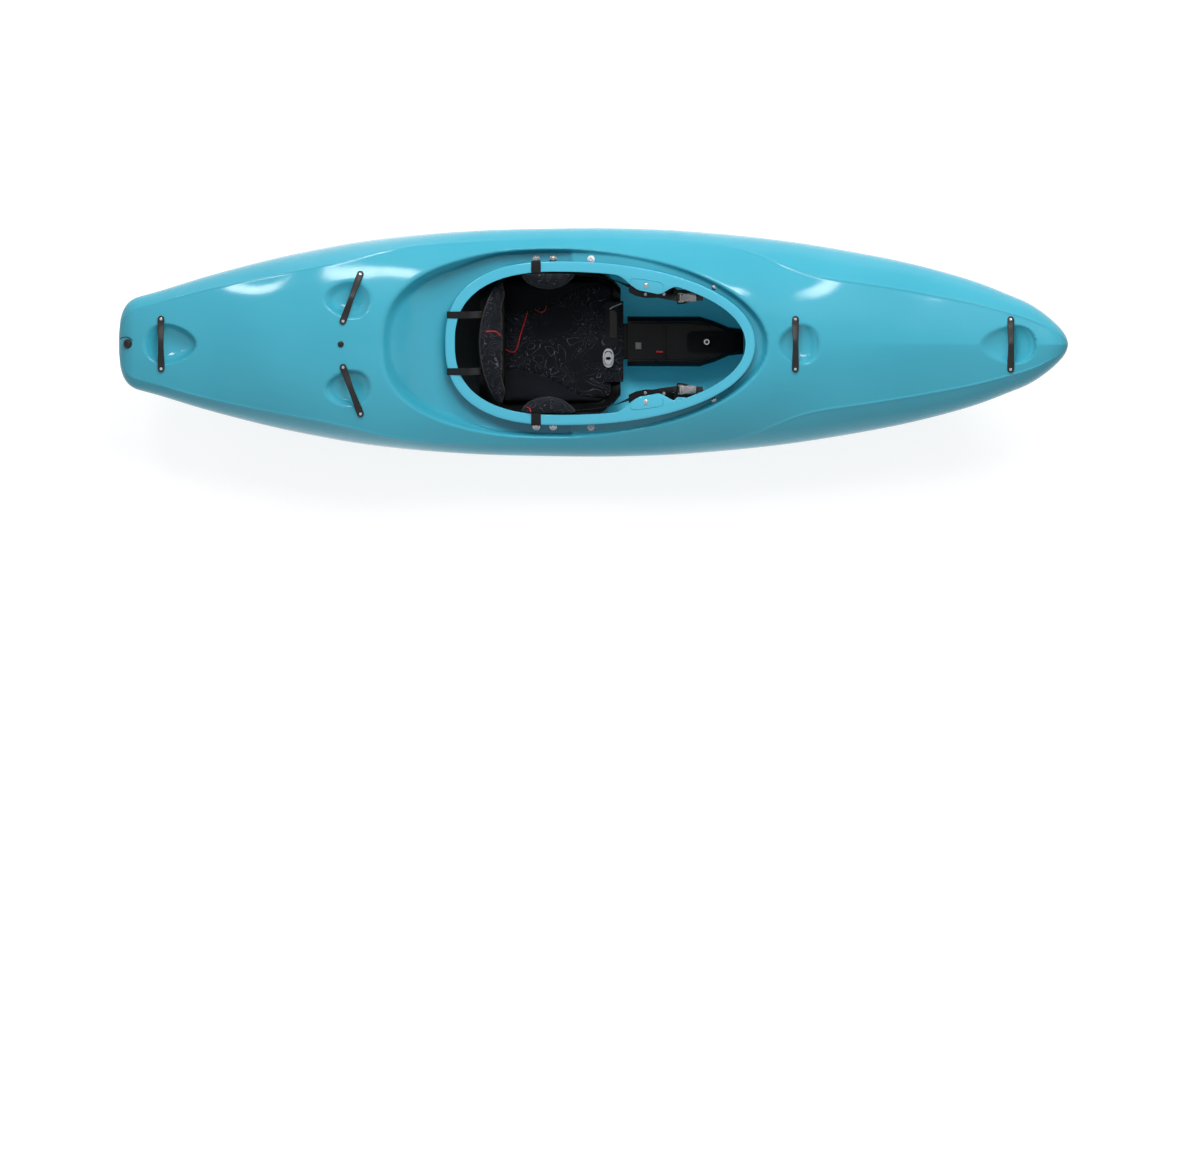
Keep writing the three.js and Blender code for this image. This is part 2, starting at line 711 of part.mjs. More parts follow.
// The rounded hollow below a grab handle
const scoopSides = 18;
const scoopRings = 10;
function scoopCutter({ x, y, length, width }, grow) {
  const middle = deckHit(x, y).point;
  const lift = scoopDepth * scoopLiftShare;
  const deep = scoopDepth + lift;
  const spread = 1 / Math.sqrt(1 - (lift / deep) ** 2);
  const geometry = new THREE.SphereGeometry(1, scoopSides, scoopRings);
  geometry.rotateX(Math.PI / 2);
  geometry.scale(length / 2 * spread + grow, width / 2 * spread + grow, deep + grow);
  geometry.translate(middle.x, middle.y, middle.z + lift);
  return solidOf(geometry);
}

// The coaming: a riser with a flange whose edge turns down
const coamingPoints = 60;
function coamingRing() {
  const rings = range(coamingPoints).map((i) => {
    const turn = ((i + 1 / 2) / coamingPoints) * 2 * Math.PI;
    const at = (out) => ovalPoint(
      turn, openingRear + out, openingFront + out, openingHalfWidth + out, rimFullness,
    );
    const [x] = at(0);
    const top = rimZ(x);
    const place = (out, drop) => point(...at(out), rimZ(at(out)[0]) - drop);
    const inward = (drop) => {
      const [edgeX, edgeY] = at(0);
      return point(edgeX, edgeY - Math.sign(edgeY) * tabReach(edgeX), top - drop);
    };
    const foot = coamingRise + hullWall / 2;
    return [
      inward(0), inward(flangeThickness), place(0, flangeThickness), place(0, foot),
      place(hullWall, foot), place(hullWall, flangeThickness),
      place(flangeWidth - lipWidth, flangeThickness), place(flangeWidth - lipWidth, lipDrop),
      place(flangeWidth, lipDrop), place(flangeWidth, lipRound), place(flangeWidth - lipRound, 0),
    ];
  });
  return loft(rings, true);
}

// The hole that the coaming stands round
function openingCutter() {
  const low = rimZ(cockpitCentreX) - coamingRise - 2 * cutOverrun;
  const ring = (z) => range(coamingPoints).map((i) => {
    const turn = ((i + 1 / 2) / coamingPoints) * 2 * Math.PI;
    return point(...ovalPoint(turn, openingRear, openingFront, openingHalfWidth, rimFullness), z);
  });
  return loft([ring(low), ring(highAbove)]);
}

// A slot-shaped recess in the flank, for the bolts of a foot rail
const slotSides = 6;
function flankSlot(side, depth, grow) {
  const reach = (railSlotLength - railSlotHeight) / 2;
  const radius = railSlotHeight / 2 + grow;
  const shape = new THREE.Shape();
  shape.absarc(reach, 0, radius, -Math.PI / 2, Math.PI / 2, false);
  shape.absarc(-reach, 0, radius, Math.PI / 2, Math.PI * 3 / 2, false);
  const geometry = new THREE.ExtrudeGeometry(shape, {
    depth: depth + grow + cutOverrun, bevelEnabled: false, curveSegments: slotSides,
  });
  geometry.rotateX(Math.PI / 2);
  const hit = flankHit(railSlotX, railSlotZ);
  const alongFlank = flankHit(railSlotX + reach, railSlotZ).point.sub(hit.point);
  geometry.translate(0, cutOverrun, 0);
  geometry.rotateZ(Math.atan2(alongFlank.y, alongFlank.x));
  geometry.translate(hit.point.x, hit.point.y, hit.point.z);
  return onSide(solidOf(geometry), side);
}

const scoops = [
  { x: bowScoopX, y: 0, length: bowScoopLength, width: scoopWidth },
  { x: foreScoopX, y: 0, length: foreScoopLength, width: scoopWidth },
  { x: sternScoopX, y: 0, length: sternScoopLength, width: scoopWidth },
  { x: rearScoopX, y: rearScoopY, length: rearScoopLength, width: rearScoopWidth },
  { x: rearScoopX, y: -rearScoopY, length: rearScoopLength, width: rearScoopWidth },
];

let body = outerHull.subtract(moatCutter(0));
let cavity = innerHull.subtract(moatCutter(hullWall));
scoops.forEach((scoop) => {
  body = body.subtract(scoopCutter(scoop, 0));
  cavity = cavity.subtract(scoopCutter(scoop, hullWall));
});
sides.forEach(([, side]) => {
  body = body.subtract(onSide(shelfCutter(0), side)).subtract(flankSlot(side, railSlotDepth, 0));
  cavity = cavity.subtract(onSide(shelfCutter(hullWall), side));
  cavity = cavity.subtract(flankSlot(side, railSlotDepth, hullWall));
});
let shell = body.subtract(cavity).subtract(openingCutter()).add(coamingRing());

// A round bolt: its head stands on the seat point, its shank runs back along the axis
function boltSolid(seat, axis, size) {
  const top = seatGap + size.headHeight;
  const profile = [
    [0, -size.length], [size.shank, -size.length], [size.shank, seatGap], [size.head, seatGap],
    [size.head, top * headShoulderShare], [size.head * headCrownShare, top], [0, top],
  ];
  return turned(profile, seat, axis);
}

function drill(seat, axis, size) {
  const reach = axis.clone().multiplyScalar(2 * size.length);
  return rod(size.shank + boltClearance, seat.clone().sub(reach), seat.clone().add(reach));
}

// Where each bolt of the hull sits, on the port side or on the centre line
const braceBoltY = flangeHalfAt(braceBoltX) + tabBolt.head + braceBoltGap;
const rimSlope = Math.atan2(rimZ(braceBoltX) - rimZ(tabBoltX), braceBoltX - tabBoltX);
const shellTop = meshOf(shell);
const shellTopAt = (x, y) => hitOn(shellTop, point(x, y, highAbove), point(0, 0, -1)).point;
function topSeat(x, y, size) {
  const [behind, middle, before] = [-1, 0, 1].map((step) => shellTopAt(x + step * size.head, y));
  const along = before.clone().sub(behind);
  const seat = behind.add(before).multiplyScalar(1 / 2);
  seat.z = Math.max(seat.z, middle.z);
  return { seat, axis: point(-along.z, 0, along.x).normalize(), size };
}
const flankNormalAt = (x) => {
  const [here, there] = [x - railBoltGap, x + railBoltGap].map((place) => flankHit(place, railSlotZ).point);
  return point(here.y - there.y, there.x - here.x, 0).normalize();
};
const slotFloorAt = (x) => {
  const normal = flankNormalAt(railSlotX);
  return flankHit(x, railSlotZ).point.sub(normal.multiplyScalar(railSlotDepth));
};
const seatBoltSpots = seatBoltXs.map((x, i) => ({
  name: `seat_bolt_${["rear", "middle", "front"][i]}`,
  ...topSeat(x, seatBoltY, seatBolt),
  material: i < 2 ? steel : greyPlastic,
}));
const pairedBolts = [
  ...seatBoltSpots,
  { name: "tab_bolt", ...topSeat(tabBoltX, tabBoltY, tabBolt), material: steel },
  { name: "brace_bolt", ...topSeat(braceBoltX, braceBoltY, tabBolt), material: steel },
  ...["rear", "front"].map((end, i) => ({
    name: `rail_bolt_${end}`,
    seat: slotFloorAt(railSlotX + (i ? railBoltGap : -railBoltGap)),
    axis: flankNormalAt(railSlotX),
    size: railBolt,
    material: steel,
  })),
];
const middleBolts = [
  { name: "rear_pillar_bolt", ...topSeat(pillarBoltX, 0, pillarBolt), material: blackPlastic },
];
const plugHit = deckHit(plugX, 0);
const plugAxis = plugHit.face.normal.clone().setY(0).normalize();

pairedBolts.forEach(({ seat, axis, size }) => {
  const hole = drill(seat, axis, size);
  shell = shell.subtract(hole).subtract(mirrored(hole));
});
middleBolts.forEach(({ seat, axis, size }) => {
  shell = shell.subtract(drill(seat, axis, size));
});
shell = shell.subtract(drill(plugHit.point, plugAxis, drainPlug));
addPiece("hull_shell", shell, hullPlastic);
pairedBolts.forEach(({ name, seat, axis, size, material }) => {
  sides.forEach(([label, side]) => {
    addPiece(`${name}_${label}`, onSide(boltSolid(seat, axis, size), side), material);
  });
});
middleBolts.forEach(({ name, seat, axis, size, material }) => {
  addPiece(name, boltSolid(seat, axis, size), material);
});
addPiece("drain_plug", boltSolid(plugHit.point, plugAxis, drainPlug), blackPlastic);

// What stands inside the hull is trimmed to its walls
function fitInside(solid, gapAlong) {
  const gap = gapAlong.clone().multiplyScalar(wallGap);
  const back = gap.clone().negate();
  return solid.intersect(cavity.translate(gap.toArray())).intersect(cavity.translate(back.toArray()));
}

// Grab handles: straps that arch over their hollows between two screws
const handleStations = 15;
function handleSolid(from, to) {
  const middle = from.clone().add(to).multiplyScalar(1 / 2);
  const along = to.clone().sub(from).normalize();
  const across = point(-along.y, along.x, 0).multiplyScalar(handleWidth / 2);
  const reach = handleSpan / 2 + handleEnd;
  const rings = range(handleStations).map((i) => {
    const u = lerp(-reach, reach, i / (handleStations - 1));
    const centre = middle.clone().addScaledVector(along, u);
    const rise = handleArch * (1 - smooth(Math.abs(u) / (handleSpan / 2 - handleEnd)));
    const lower = [-1, 0, 1].map((step) => {
      const spot = centre.clone().addScaledVector(across, step);
      return spot.setZ(deckHit(spot.x, spot.y).point.z + handleGap + rise);
    });
    const upper = lower.map((spot) => spot.clone().setZ(spot.z + handleThickness));
    return [...lower, ...upper.reverse()];
  });
  return loft(rings);
}

[["bow", bowHandleX], ["foredeck", foreHandleX], ["stern", sternHandleX]].forEach(([name, x]) => {
  const solid = handleSolid(point(x, -handleSpan / 2, 0), point(x, handleSpan / 2, 0));
  addPiece(`${name}_handle`, solid, blackPlastic);
});
sides.forEach(([label, side]) => {
  const from = point(rearHandleInnerX, side * rearHandleInnerY, 0);
  const to = point(rearHandleOuterX, side * rearHandleOuterY, 0);
  addPiece(`rear_handle_${label}`, handleSolid(from, to), blackPlastic);
});

// A ribbon along a path. Its width runs along the across vector of each point.
function ribbon(path, acrossAt, width, thickness) {
  const rings = path.map((p, i) => {
    const before = path[Math.max(i - 1, 0)];
    const after = path[Math.min(i + 1, path.length - 1)];
    const first = p.clone().sub(before).normalize();
    const second = after.clone().sub(p).normalize();
    const along = first.clone().add(second).normalize();
    const across = acrossAt(i).clone().addScaledVector(along, -acrossAt(i).dot(along)).normalize();
    const normal = along.clone().cross(across);
    const bend = first.lengthSq() && second.lengthSq() ? Math.max(along.dot(first), 1 / 2) : 1;
    const side = across.multiplyScalar(width / 2);
    const face = normal.multiplyScalar(thickness / 2 / bend);
    return [[-1, -1], [1, -1], [1, 1], [-1, 1]].map(([a, b]) => (
      p.clone().addScaledVector(side, a).addScaledVector(face, b)
    ));
  });
  return loft(rings);
}

const smoothPath = (points, count) => new THREE.CatmullRomCurve3(points, false, "centripetal")
  .getPoints(count);

// Seat pan: a dished shell with tall sides, whose flanges hang below the moat
const seatFloorAt = curveThrough([
  [0.0003, 0.1992], [0.0973, 0.1504], [0.3155, 0.1301], [0.6553, 0.1341], [0.8495, 0.1504],
  [0.9998, 0.1748],
]);
const seatHalfAt = curveThrough([
  [0.0003, 0.4805], [0.0727, 0.5586], [0.1652, 0.6072], [0.8495, 0.6072], [0.9346, 0.5405],
  [0.9998, 0.4505],
]);
const seatWallAt = curveThrough([
  [0.0003, 0.122], [0.1213, 0.4472], [0.2377, 1], [0.8542, 1], [0.9513, 0.0407], [0.9998, 0],
]);
const seatStationShares = [
  0, 0.044, 0.097, 0.165, 0.238, 0.316, 0.461, 0.583, 0.67, 0.718, 0.8, 0.854, 0.888, 0.922, 0.951, 1,
];
const seatX = (share) => lerp(seatRear, seatFront, share);
const seatShare = (x) => (x - seatRear) / (seatFront - seatRear);
const seatZ = (x) => seatFloorAt(seatShare(x)) * hullHeight;
const seatHalf = (x) => seatHalfAt(seatShare(x)) * halfBeam;

// The underside of the moat above the seat's flanges
function moatUndersideZ(x) {
  const shelf = 1 - clamp01((x - shelfFrontX - hullWall - seatGap) / shelfStepLength);
  return moatFloorZ(x) - shelfDepth * shelf - hullWall;
}

// Half of the seat's upper face at x, from its middle out to the flange's edge
function seatLine(x) {
  const [floor, half] = [seatZ(x), seatHalf(x)];
  const wall = seatWallAt(seatShare(x));
  const low = floor + seatLipRise;
  const high = lerp(low, moatUndersideZ(x) - flangeGap, wall);
  const flange = lerp(seatLipWidth, seatFlangeWidth, smooth(wall * 2 - 1));
  const [floorShare, bendShare] = seatLineShares;
  return [
    [0, floor], [half * floorShare, floor + seatDish], [half * bendShare, floor + seatBend],
    [half, lerp(floor + seatBend, high, seatWallBendShare)], [half, high], [half + flange, high],
  ];
}

function seatPanSolid() {
  const t = seatThickness;
  const rings = seatStationShares.map((share) => {
    const x = seatX(share);
    const upper = seatLine(x);
    const shifts = [[0, -t], [0, -t], [t * cornerShare, -t * cornerShare], [t, 0], [t, -t], [0, -t]];
    const lower = upper.map(([y, z], i) => [y + shifts[i][0], z + shifts[i][1]]);
    const whole = (line) => [...line.slice(1).reverse().map(([y, z]) => [-y, z]), ...line];
    return [...whole(lower), ...whole(upper).reverse()].map(([y, z]) => point(x, y, z));
  });
  let pan = fitInside(loft(rings), up);
  sides.forEach(([, side]) => {
    const [rear, front] = seatRibShares.map(seatX);
    const rib = range(seatRibStations).map((i) => {
      const x = lerp(rear, front, i / (seatRibStations - 1));
      const high = seatZ(x) - seatThickness / 2;
      return [
        point(x, seatRibY, seatRibFoot), point(x, seatRibY + seatRibWidth, seatRibFoot),
        point(x, seatRibY + seatRibWidth, high), point(x, seatRibY, high),
      ];
    });
    pan = pan.add(onSide(fitInside(loft(rib), up), side));
    seatBoltXs.forEach((x) => {
      const reach = seatTrim + seatBolt.shank + boltClearance;
      const half = seatBolt.shank + boltClearance;
      const z = moatUndersideZ(x);
      const slot = block(
        point(x - reach, seatBoltY - half, z - cutOverrun),
        point(x + reach, seatBoltY + half, z + cutOverrun),
      );
      pan = pan.subtract(onSide(slot, side));
    });
  });
  return pan;
}

addPiece("seat_pan", seatPanSolid(), blackPlastic);

// Seat pad: a cushion that fills the pan's dish
function seatPadSolid() {
  const rings = seatPadStationShares.map((share, i) => {
    const x = seatX(share);
    const [, flat, bend] = seatLine(x);
    const full = seatPadFullShares[i];
    const edge = Math.min(bend[0], seatHalf(x) - seatPadSideGap);
    const lower = [[0, seatZ(x)], flat, [edge, bend[1]]].map(([y, z]) => [y, z + seatPadGap]);
    const upper = [seatPadThickness, seatPadThickness, seatPadThickness * seatPadEdgeShare]
      .map((rise, j) => [lower[j][0] * (j === 2 ? seatPadTopShare : 1), lower[j][1] + rise * full]);
    const whole = (line) => [...line.slice(1).reverse().map(([y, z]) => [-y, z]), ...line];
    return [...whole(lower), ...whole(upper).reverse()].map(([y, z]) => point(x, y, z));
  });
  return loft(rings);
}

addPiece("seat_pad", seatPadSolid(), fabric);

// Hip pads: lens-shaped cushions between the hips and the seat's sides
const hipPadOuterY = openingHalfAt(hipStrapX - hipStrapWidth / 2, 0) - flangeOverhang
  - 2 * strapGap - strapThickness / 2;
const hipPoints = 7;
function hipPadSolid() {
  const rings = hipHeightShares.map((share, i) => {
    const z = lerp(hipPadLow, hipPadHigh, share);
    const outer = range(hipPoints).map((j) => {
      const x = lerp(hipPadRear, hipPadFront, j / (hipPoints - 1));
      return [x, Math.min(hipPadOuterY, openingHalfAt(x, 0) - hipPadRimGap)];
    });
    const inner = outer.map(([x, y], j) => {
      const swell = Math.sin((j / (hipPoints - 1)) * Math.PI) ** hipSwellShare;
      return [x, y - hipPadEdge - (hipPadDepth - hipPadEdge) * swell * hipFullShares[i]];
    });
    return [...outer, ...inner.reverse()].map(([x, y]) => point(x, y, z));
  });
  return loft(rings);
}

// The webbing that holds a hip pad goes over the coaming and back below its flange
function hipStrapSolid() {
  const [x, top] = [hipStrapX, rimZ(hipStrapX + hipStrapWidth / 2) + strapGap];
  const inner = hipPadOuterY + strapGap;
  const outer = flangeHalfAt(hipStrapX + hipStrapWidth / 2) + strapGap;
  const low = rimZ(hipStrapX - hipStrapWidth / 2) - lipDrop - strapGap;
  const path = [
    point(x, inner, top - hipStrapTail), point(x, inner, top - strapGap), point(x, inner + strapGap, top),
    point(x, outer - strapGap, top), point(x, outer, top - strapGap), point(x, outer, low),
    point(x, outer - hipStrapReturn, low),
  ];
  return ribbon(path, () => ahead, hipStrapWidth, strapThickness);
}

sides.forEach(([label, side]) => {
  addPiece(`hip_pad_${label}`, onSide(hipPadSolid(), side), fabric);
  addPiece(`hip_strap_${label}`, onSide(hipStrapSolid(), side), webbing);
});

// Backband: a curved plate behind a cushion, both bent about an upright line
const backStations = 13;
const backEndPower = 2;
const backCornerPower = 8;
function backSlab(innerRadius, outerRadius, low, high, endDrop, endThin) {
  const sweep = Math.asin(backHalfWidth / backRadius);
  const rings = range(backStations).map((i) => {
    const turn = lerp(-sweep, sweep, i / (backStations - 1));
    const near = Math.abs(turn / sweep) ** backEndPower;
    const round = Math.abs(turn / sweep) ** backCornerPower;
    const radius = lerp(innerRadius, lerp(innerRadius, outerRadius, endThin), near);
    const foot = low + endDrop * near + backCorner * round;
    const head = high - endDrop * near - backCorner * round;
    const at = (r, z) => point(backCentreX - r * Math.cos(turn), r * Math.sin(turn), z);
    return [at(radius, foot), at(outerRadius, foot), at(outerRadius, head), at(radius, head)];
  });
  return loft(rings);
}

const backEndX = backCentreX - Math.sqrt(backRadius ** 2 - backHalfWidth ** 2);
const backShellOuter = backRadius + backShellThickness;
addPiece("backband_shell", backSlab(
  backRadius, backShellOuter, backShellLow, backShellHigh, backEndDrop, 0,
), blackPlastic);
addPiece("backband_pad", backSlab(
  backRadius - backPadThickness, backRadius - padGap, backPadLow, backPadHigh, backEndDrop, backPadThin,
), fabric);

// Straps from the backband: two over the rear of the coaming, two forward to the ratchets
const backShellX = (y) => backCentreX - Math.sqrt(backShellOuter ** 2 - y ** 2);
function rearStrapSolid() {
  const y = rearStrapY;
  const [near, far] = [y - rearStrapWidth / 2, y + rearStrapWidth / 2];
  const rear = cockpitCentreX - rearReachAt(near, flangeWidth);
  const inner = cockpitCentreX - rearReachAt(far, -flangeOverhang);
  const top = rimZ(rear);
  const behind = backShellX(near) - strapGap;
  const corners = rearStrapShares.map(([along, rise]) => (
    point(lerp(behind, inner, along), y, lerp(rearStrapFoot, top, rise))
  ));
  const hook = [
    point(inner - strapGap, y, top + strapGap), point(rear + strapGap, y, top + strapGap),
    point(rear - strapGap, y, top), point(rear - strapGap, y, top - lipDrop - strapGap),
    point(rear + rearStrapReturn, y, top - lipDrop - strapGap),
  ];
  const path = [...smoothPath([...corners, hook[0]], rearStrapSteps), ...hook.slice(1)];
  return ribbon(path, () => port, rearStrapWidth, strapThickness);
}

sides.forEach(([label, side]) => {
  addPiece(`rear_strap_${label}`, onSide(rearStrapSolid(), side), webbing);
});

// Thigh braces: plates that hang below the tabs and reach forward below the moat
const braceMiddleAt = curveThrough([
  [-0.0002, 0.4805], [0.0695, 0.4745], [0.1745, 0.4685], [0.2958, 0.4595], [0.3836, 0.4625],
  [0.4561, 0.461], [0.4915, 0.4024], [0.6795, 0.4264], [0.8571, 0.4865], [1.0003, 0.4925],
]);
const braceHalfAt = curveThrough([
  [-0.0002, 0.036], [0.0695, 0.0601], [0.1745, 0.0721], [0.2958, 0.0601], [0.3836, 0.039],
  [0.4561, 0.033], [0.4915, 0.0631], [0.6519, 0.0541], [0.8571, 0.045], [1.0003, 0.024],
]);
const braceStationShares = [
  0, 0.07, 0.17, 0.29, 0.345, 0.38, 0.42, 0.455, 0.49, 0.55, 0.65, 0.76, 0.86, 0.94, 1,
];
const braceX = (share) => lerp(braceRear, braceFront, share);
const braceShare = (x) => (x - braceRear) / (braceFront - braceRear);

// The brace's rear half hangs below the flange, its front half below the moat
function braceZ(x) {
  const forward = smooth((x - braceDropX) / braceDropLength);
  const rear = flangeThickness + braceRearGap;
  const front = coamingRise + hullWall + braceFrontGap;
  return rimZ(x) - lerp(rear, front, forward);
}

function braceRing(x, below, thickness, inset) {
  const middle = braceMiddleAt(braceShare(x)) * halfBeam;
  const half = braceHalfAt(braceShare(x)) * halfBeam - inset;
  const top = braceZ(x) - below;
  return [[-1, -1], [1, -1], [1, 0], [-1, 0]].map(([a, b]) => (
    point(x, middle + a * half, top + b * thickness)
  ));
}

function bracePlateSolid() {
  let plate = loft(braceStationShares.map((share) => braceRing(braceX(share), 0, braceThickness, 0)));
  [[tabBoltX, tabBoltY], [braceBoltX, braceBoltY]].forEach(([x, y]) => {
    const half = tabBolt.shank + boltClearance;
    const reach = braceTrim + half;
    const slot = block(
      point(x - reach, y - half, rimZ(x) - 2 * coamingRise), point(x + reach, y + half, rimZ(x)),
    );
    plate = plate.subtract(slot);
  });
  return plate;
}

function bracePadSolid() {
  const rings = bracePadStationShares.map((share) => braceRing(
    braceX(share), braceThickness + padGap, bracePadThickness, bracePadInset,
  ));
  const solid = loft(rings);
  const half = tabBolt.shank + boltClearance;
  const reach = braceTrim + half;
  return solid.subtract(block(
    point(tabBoltX - reach, tabBoltY - half, 0), point(tabBoltX + reach, tabBoltY + half, hullHeight),
  ));
}

// Ratchets: a channel with a pin, and a lever that turns on it. Drawn flat, then laid on the brace.
const ratchetY = openingHalfAt(ratchetX + ratchetLength, 0) - ratchetWidth / 2 - ratchetSideGap;
const ratchetSeatZ = braceZ(ratchetX) + seatGap;
const slopeDegrees = THREE.MathUtils.radToDeg(rimSlope);
function onBrace(solid) {
  return solid.rotate([0, -slopeDegrees, 0]).translate([ratchetX, ratchetY, ratchetSeatZ]);
}

const pinPlace = (y) => point(ratchetPinX, y, ratchetPinZ);
function ratchetBodySolid() {
  const half = ratchetWidth / 2;
  const wall = ratchetWall;
  let channel = block(point(0, -half, 0), point(ratchetLength, half, wall));
  [-half, half - wall].forEach((y) => {
    const shape = new THREE.Shape(ratchetCheekShares.map(([u, v]) => (
      new THREE.Vector2(u * ratchetLength, v * ratchetHeight)
    )));
    const cheek = new THREE.ExtrudeGeometry(shape, { depth: wall, bevelEnabled: false });
    cheek.rotateX(Math.PI / 2);
    cheek.translate(0, y + wall, 0);
    channel = channel.add(solidOf(cheek));
  });
  return channel.add(rod(ratchetPin, pinPlace(-half), pinPlace(half)));
}

function ratchetLeverSolid() {
  const half = ratchetWidth / 2 - ratchetWall - ratchetPlay;
  const knuckle = rod(ratchetKnuckle, pinPlace(-half), pinPlace(half), knuckleSides);
  const shape = new THREE.Shape(leverShares.map(([u, v]) => (
    new THREE.Vector2(u * ratchetLength, v * ratchetHeight)
  )));
  const blade = new THREE.ExtrudeGeometry(shape, { depth: 2 * half, bevelEnabled: false });
  blade.rotateX(Math.PI / 2);
  blade.translate(0, half, 0);
  const bore = rod(ratchetPin + ratchetPlay, pinPlace(-ratchetWidth), pinPlace(ratchetWidth));
  return knuckle.add(solidOf(blade)).subtract(bore);
}

// The ladder strap runs along the hip, then flat through the ratchet
function ladderStrapSolid() {
  const flatZ = ratchetWall + ladderThickness;
  const onSlope = (along) => point(
    ratchetX + along * Math.cos(rimSlope) - flatZ * Math.sin(rimSlope),
    ratchetY,
    ratchetSeatZ + flatZ * Math.cos(rimSlope) + along * Math.sin(rimSlope),
  );
  const start = ladderShares.map(([x, y, z]) => (
    point(lerp(backEndX, ratchetX, x), y * openingHalfWidth, z * hullHeight)
  ));
  const path = [
    ...smoothPath([...start, onSlope(-ladderLead)], ladderSteps),
    onSlope(0), onSlope(ratchetLength), onSlope(ratchetLength + ladderTail),
  ];
  const acrossAt = (i) => {
    const twist = smooth((i / ladderSteps - ladderTwistShare) / (1 - ladderTwistShare));
    return up.clone().lerp(port.clone().negate(), twist).normalize();
  };
  return ribbon(path, acrossAt, ladderWidth, ladderThickness);
}

sides.forEach(([label, side]) => {
  addPiece(`thigh_brace_${label}`, onSide(bracePlateSolid(), side), blackPlastic);
  addPiece(`thigh_pad_${label}`, onSide(bracePadSolid(), side), foam);
  addPiece(`ratchet_body_${label}`, onSide(onBrace(ratchetBodySolid()), side), aluminium);
  addPiece(`ratchet_lever_${label}`, onSide(onBrace(ratchetLeverSolid()), side), aluminium);
  addPiece(`ladder_strap_${label}`, onSide(ladderStrapSolid(), side), webbing);
});

// Leg lifter: a stiff flap at the seat's front, a strap across it and its cam buckle
const padTops = seatPadStationShares.map((share, i) => (
  seatZ(seatX(share)) + seatPadGap + seatPadThickness * seatPadFullShares[i]
));
const flapShare = seatShare(flapRear);
const flapLow = flapGap + Math.max(...padTops.filter((top, i) => (
  (seatPadStationShares[i + 1] ?? 1) > flapShare
)));
const flapPlace = (x, y, z) => point(flapRear + x, y, flapLow + z);
const flapTop = flapThickness + seatGap;
addPiece("leg_lifter_flap", block(
  flapPlace(0, -flapHalfWidth, 0), flapPlace(flapLength, flapHalfWidth, flapThickness),
), fabric);
addPiece("leg_lifter_strap", block(
  flapPlace(lifterStrapIn, lifterStrapStart, flapTop),
  flapPlace(lifterStrapIn + lifterStrapWidth, lifterStrapEnd, flapTop + lifterStrapThickness),
), webbing);

function camBuckleSolid() {
  const [half, wall] = [camWidth / 2, camWall];
  const at = (x, y, z) => flapPlace(camX + x, camY + y, flapTop + z);
  let buckle = block(at(-half, -camLength / 2, 0), at(half, camLength / 2, wall));
  [-half, half - wall].forEach((x) => {
    buckle = buckle.add(block(at(x, camPinY - camCheek, 0), at(x + wall, camPinY + camCheek, camHeight)));
  });
  return buckle.add(rod(camPin, at(-half, camPinY, camPinZ), at(half, camPinY, camPinZ)));
}

function camLeverSolid() {
  const half = camWidth / 2 - camWall - ratchetPlay;
  const at = (x, y, z) => flapPlace(camX + x, camY + y, flapTop + z);
  const knuckle = rod(camKnuckle, at(-half, camPinY, camPinZ), at(half, camPinY, camPinZ), knuckleSides);
  const low = camPinZ + camKnuckle - camWall;
  const blade = block(at(-half, camPinY, low), at(half, camPinY - camLeverLength, low + camWall));
  const bore = rod(camPin + ratchetPlay, at(-camWidth, camPinY, camPinZ), at(camWidth, camPinY, camPinZ));
  return knuckle.add(blade).subtract(bore);
}

addPiece("cam_buckle", camBuckleSolid(), steel);
addPiece("cam_lever", camLeverSolid(), steel);

// Centre console on the hull's floor, with a pad and a knob
const consoleTopAt = curveThrough([
  [-0.0059, 0.2276], [0.0825, 0.2459], [0.2308, 0.2561], [0.5146, 0.2724], [1.0001, 0.2764],
]);
const consoleHalfAt = curveThrough([
  [-0.0059, 0.2162], [0.6742, 0.2162], [0.8226, 0.1321], [1.0001, 0.1081],
]);
const consoleShare = (x) => (x - consoleRear) / (consoleFront - consoleRear);
const consoleZ = (x) => consoleTopAt(consoleShare(x)) * hullHeight;
const consoleStations = 9;
function consoleSolid() {
  const rings = range(consoleStations).map((i) => {
    const x = lerp(consoleRear, consoleFront, i / (consoleStations - 1));
    const half = consoleHalfAt(consoleShare(x)) * halfBeam;
    const top = consoleZ(x);
    return [
      point(x, -half, 0), point(x, half, 0), point(x, half, top - consoleCorner),
      point(x, half - consoleCorner, top), point(x, consoleCorner - half, top),
      point(x, -half, top - consoleCorner),
    ];
  });
  const hole = rod(
    knob.shank + boltClearance, point(knobX, 0, consoleZ(knobX) - knob.length), point(knobX, 0, hullHeight),
  );
  return fitInside(loft(rings), up).subtract(hole);
}

function consolePadSolid() {
  const rings = consolePadStationShares.map((share, i) => {
    const x = lerp(consolePadRear, consolePadFront, share);
    const low = consoleZ(x) + padGap;
    const half = consolePadHalf * consolePadFullShares[i];
    const high = low + consolePadThickness * consolePadFullShares[i];
    return [point(x, -half, low), point(x, half, low), point(x, half, high), point(x, -half, high)];
  });
  const hole = rod(knob.shank + boltClearance, point(knobX, 0, 0), point(knobX, 0, hullHeight));
  return loft(rings).subtract(hole);
}

addPiece("centre_console", consoleSolid(), blackPlastic);
addPiece("console_pad", consolePadSolid(), foam);
const knobSeat = point(knobX, 0, consoleZ(knobX) + padGap + consolePadThickness);
addPiece("console_knob", boltSolid(knobSeat, up, knob), blackPlastic);

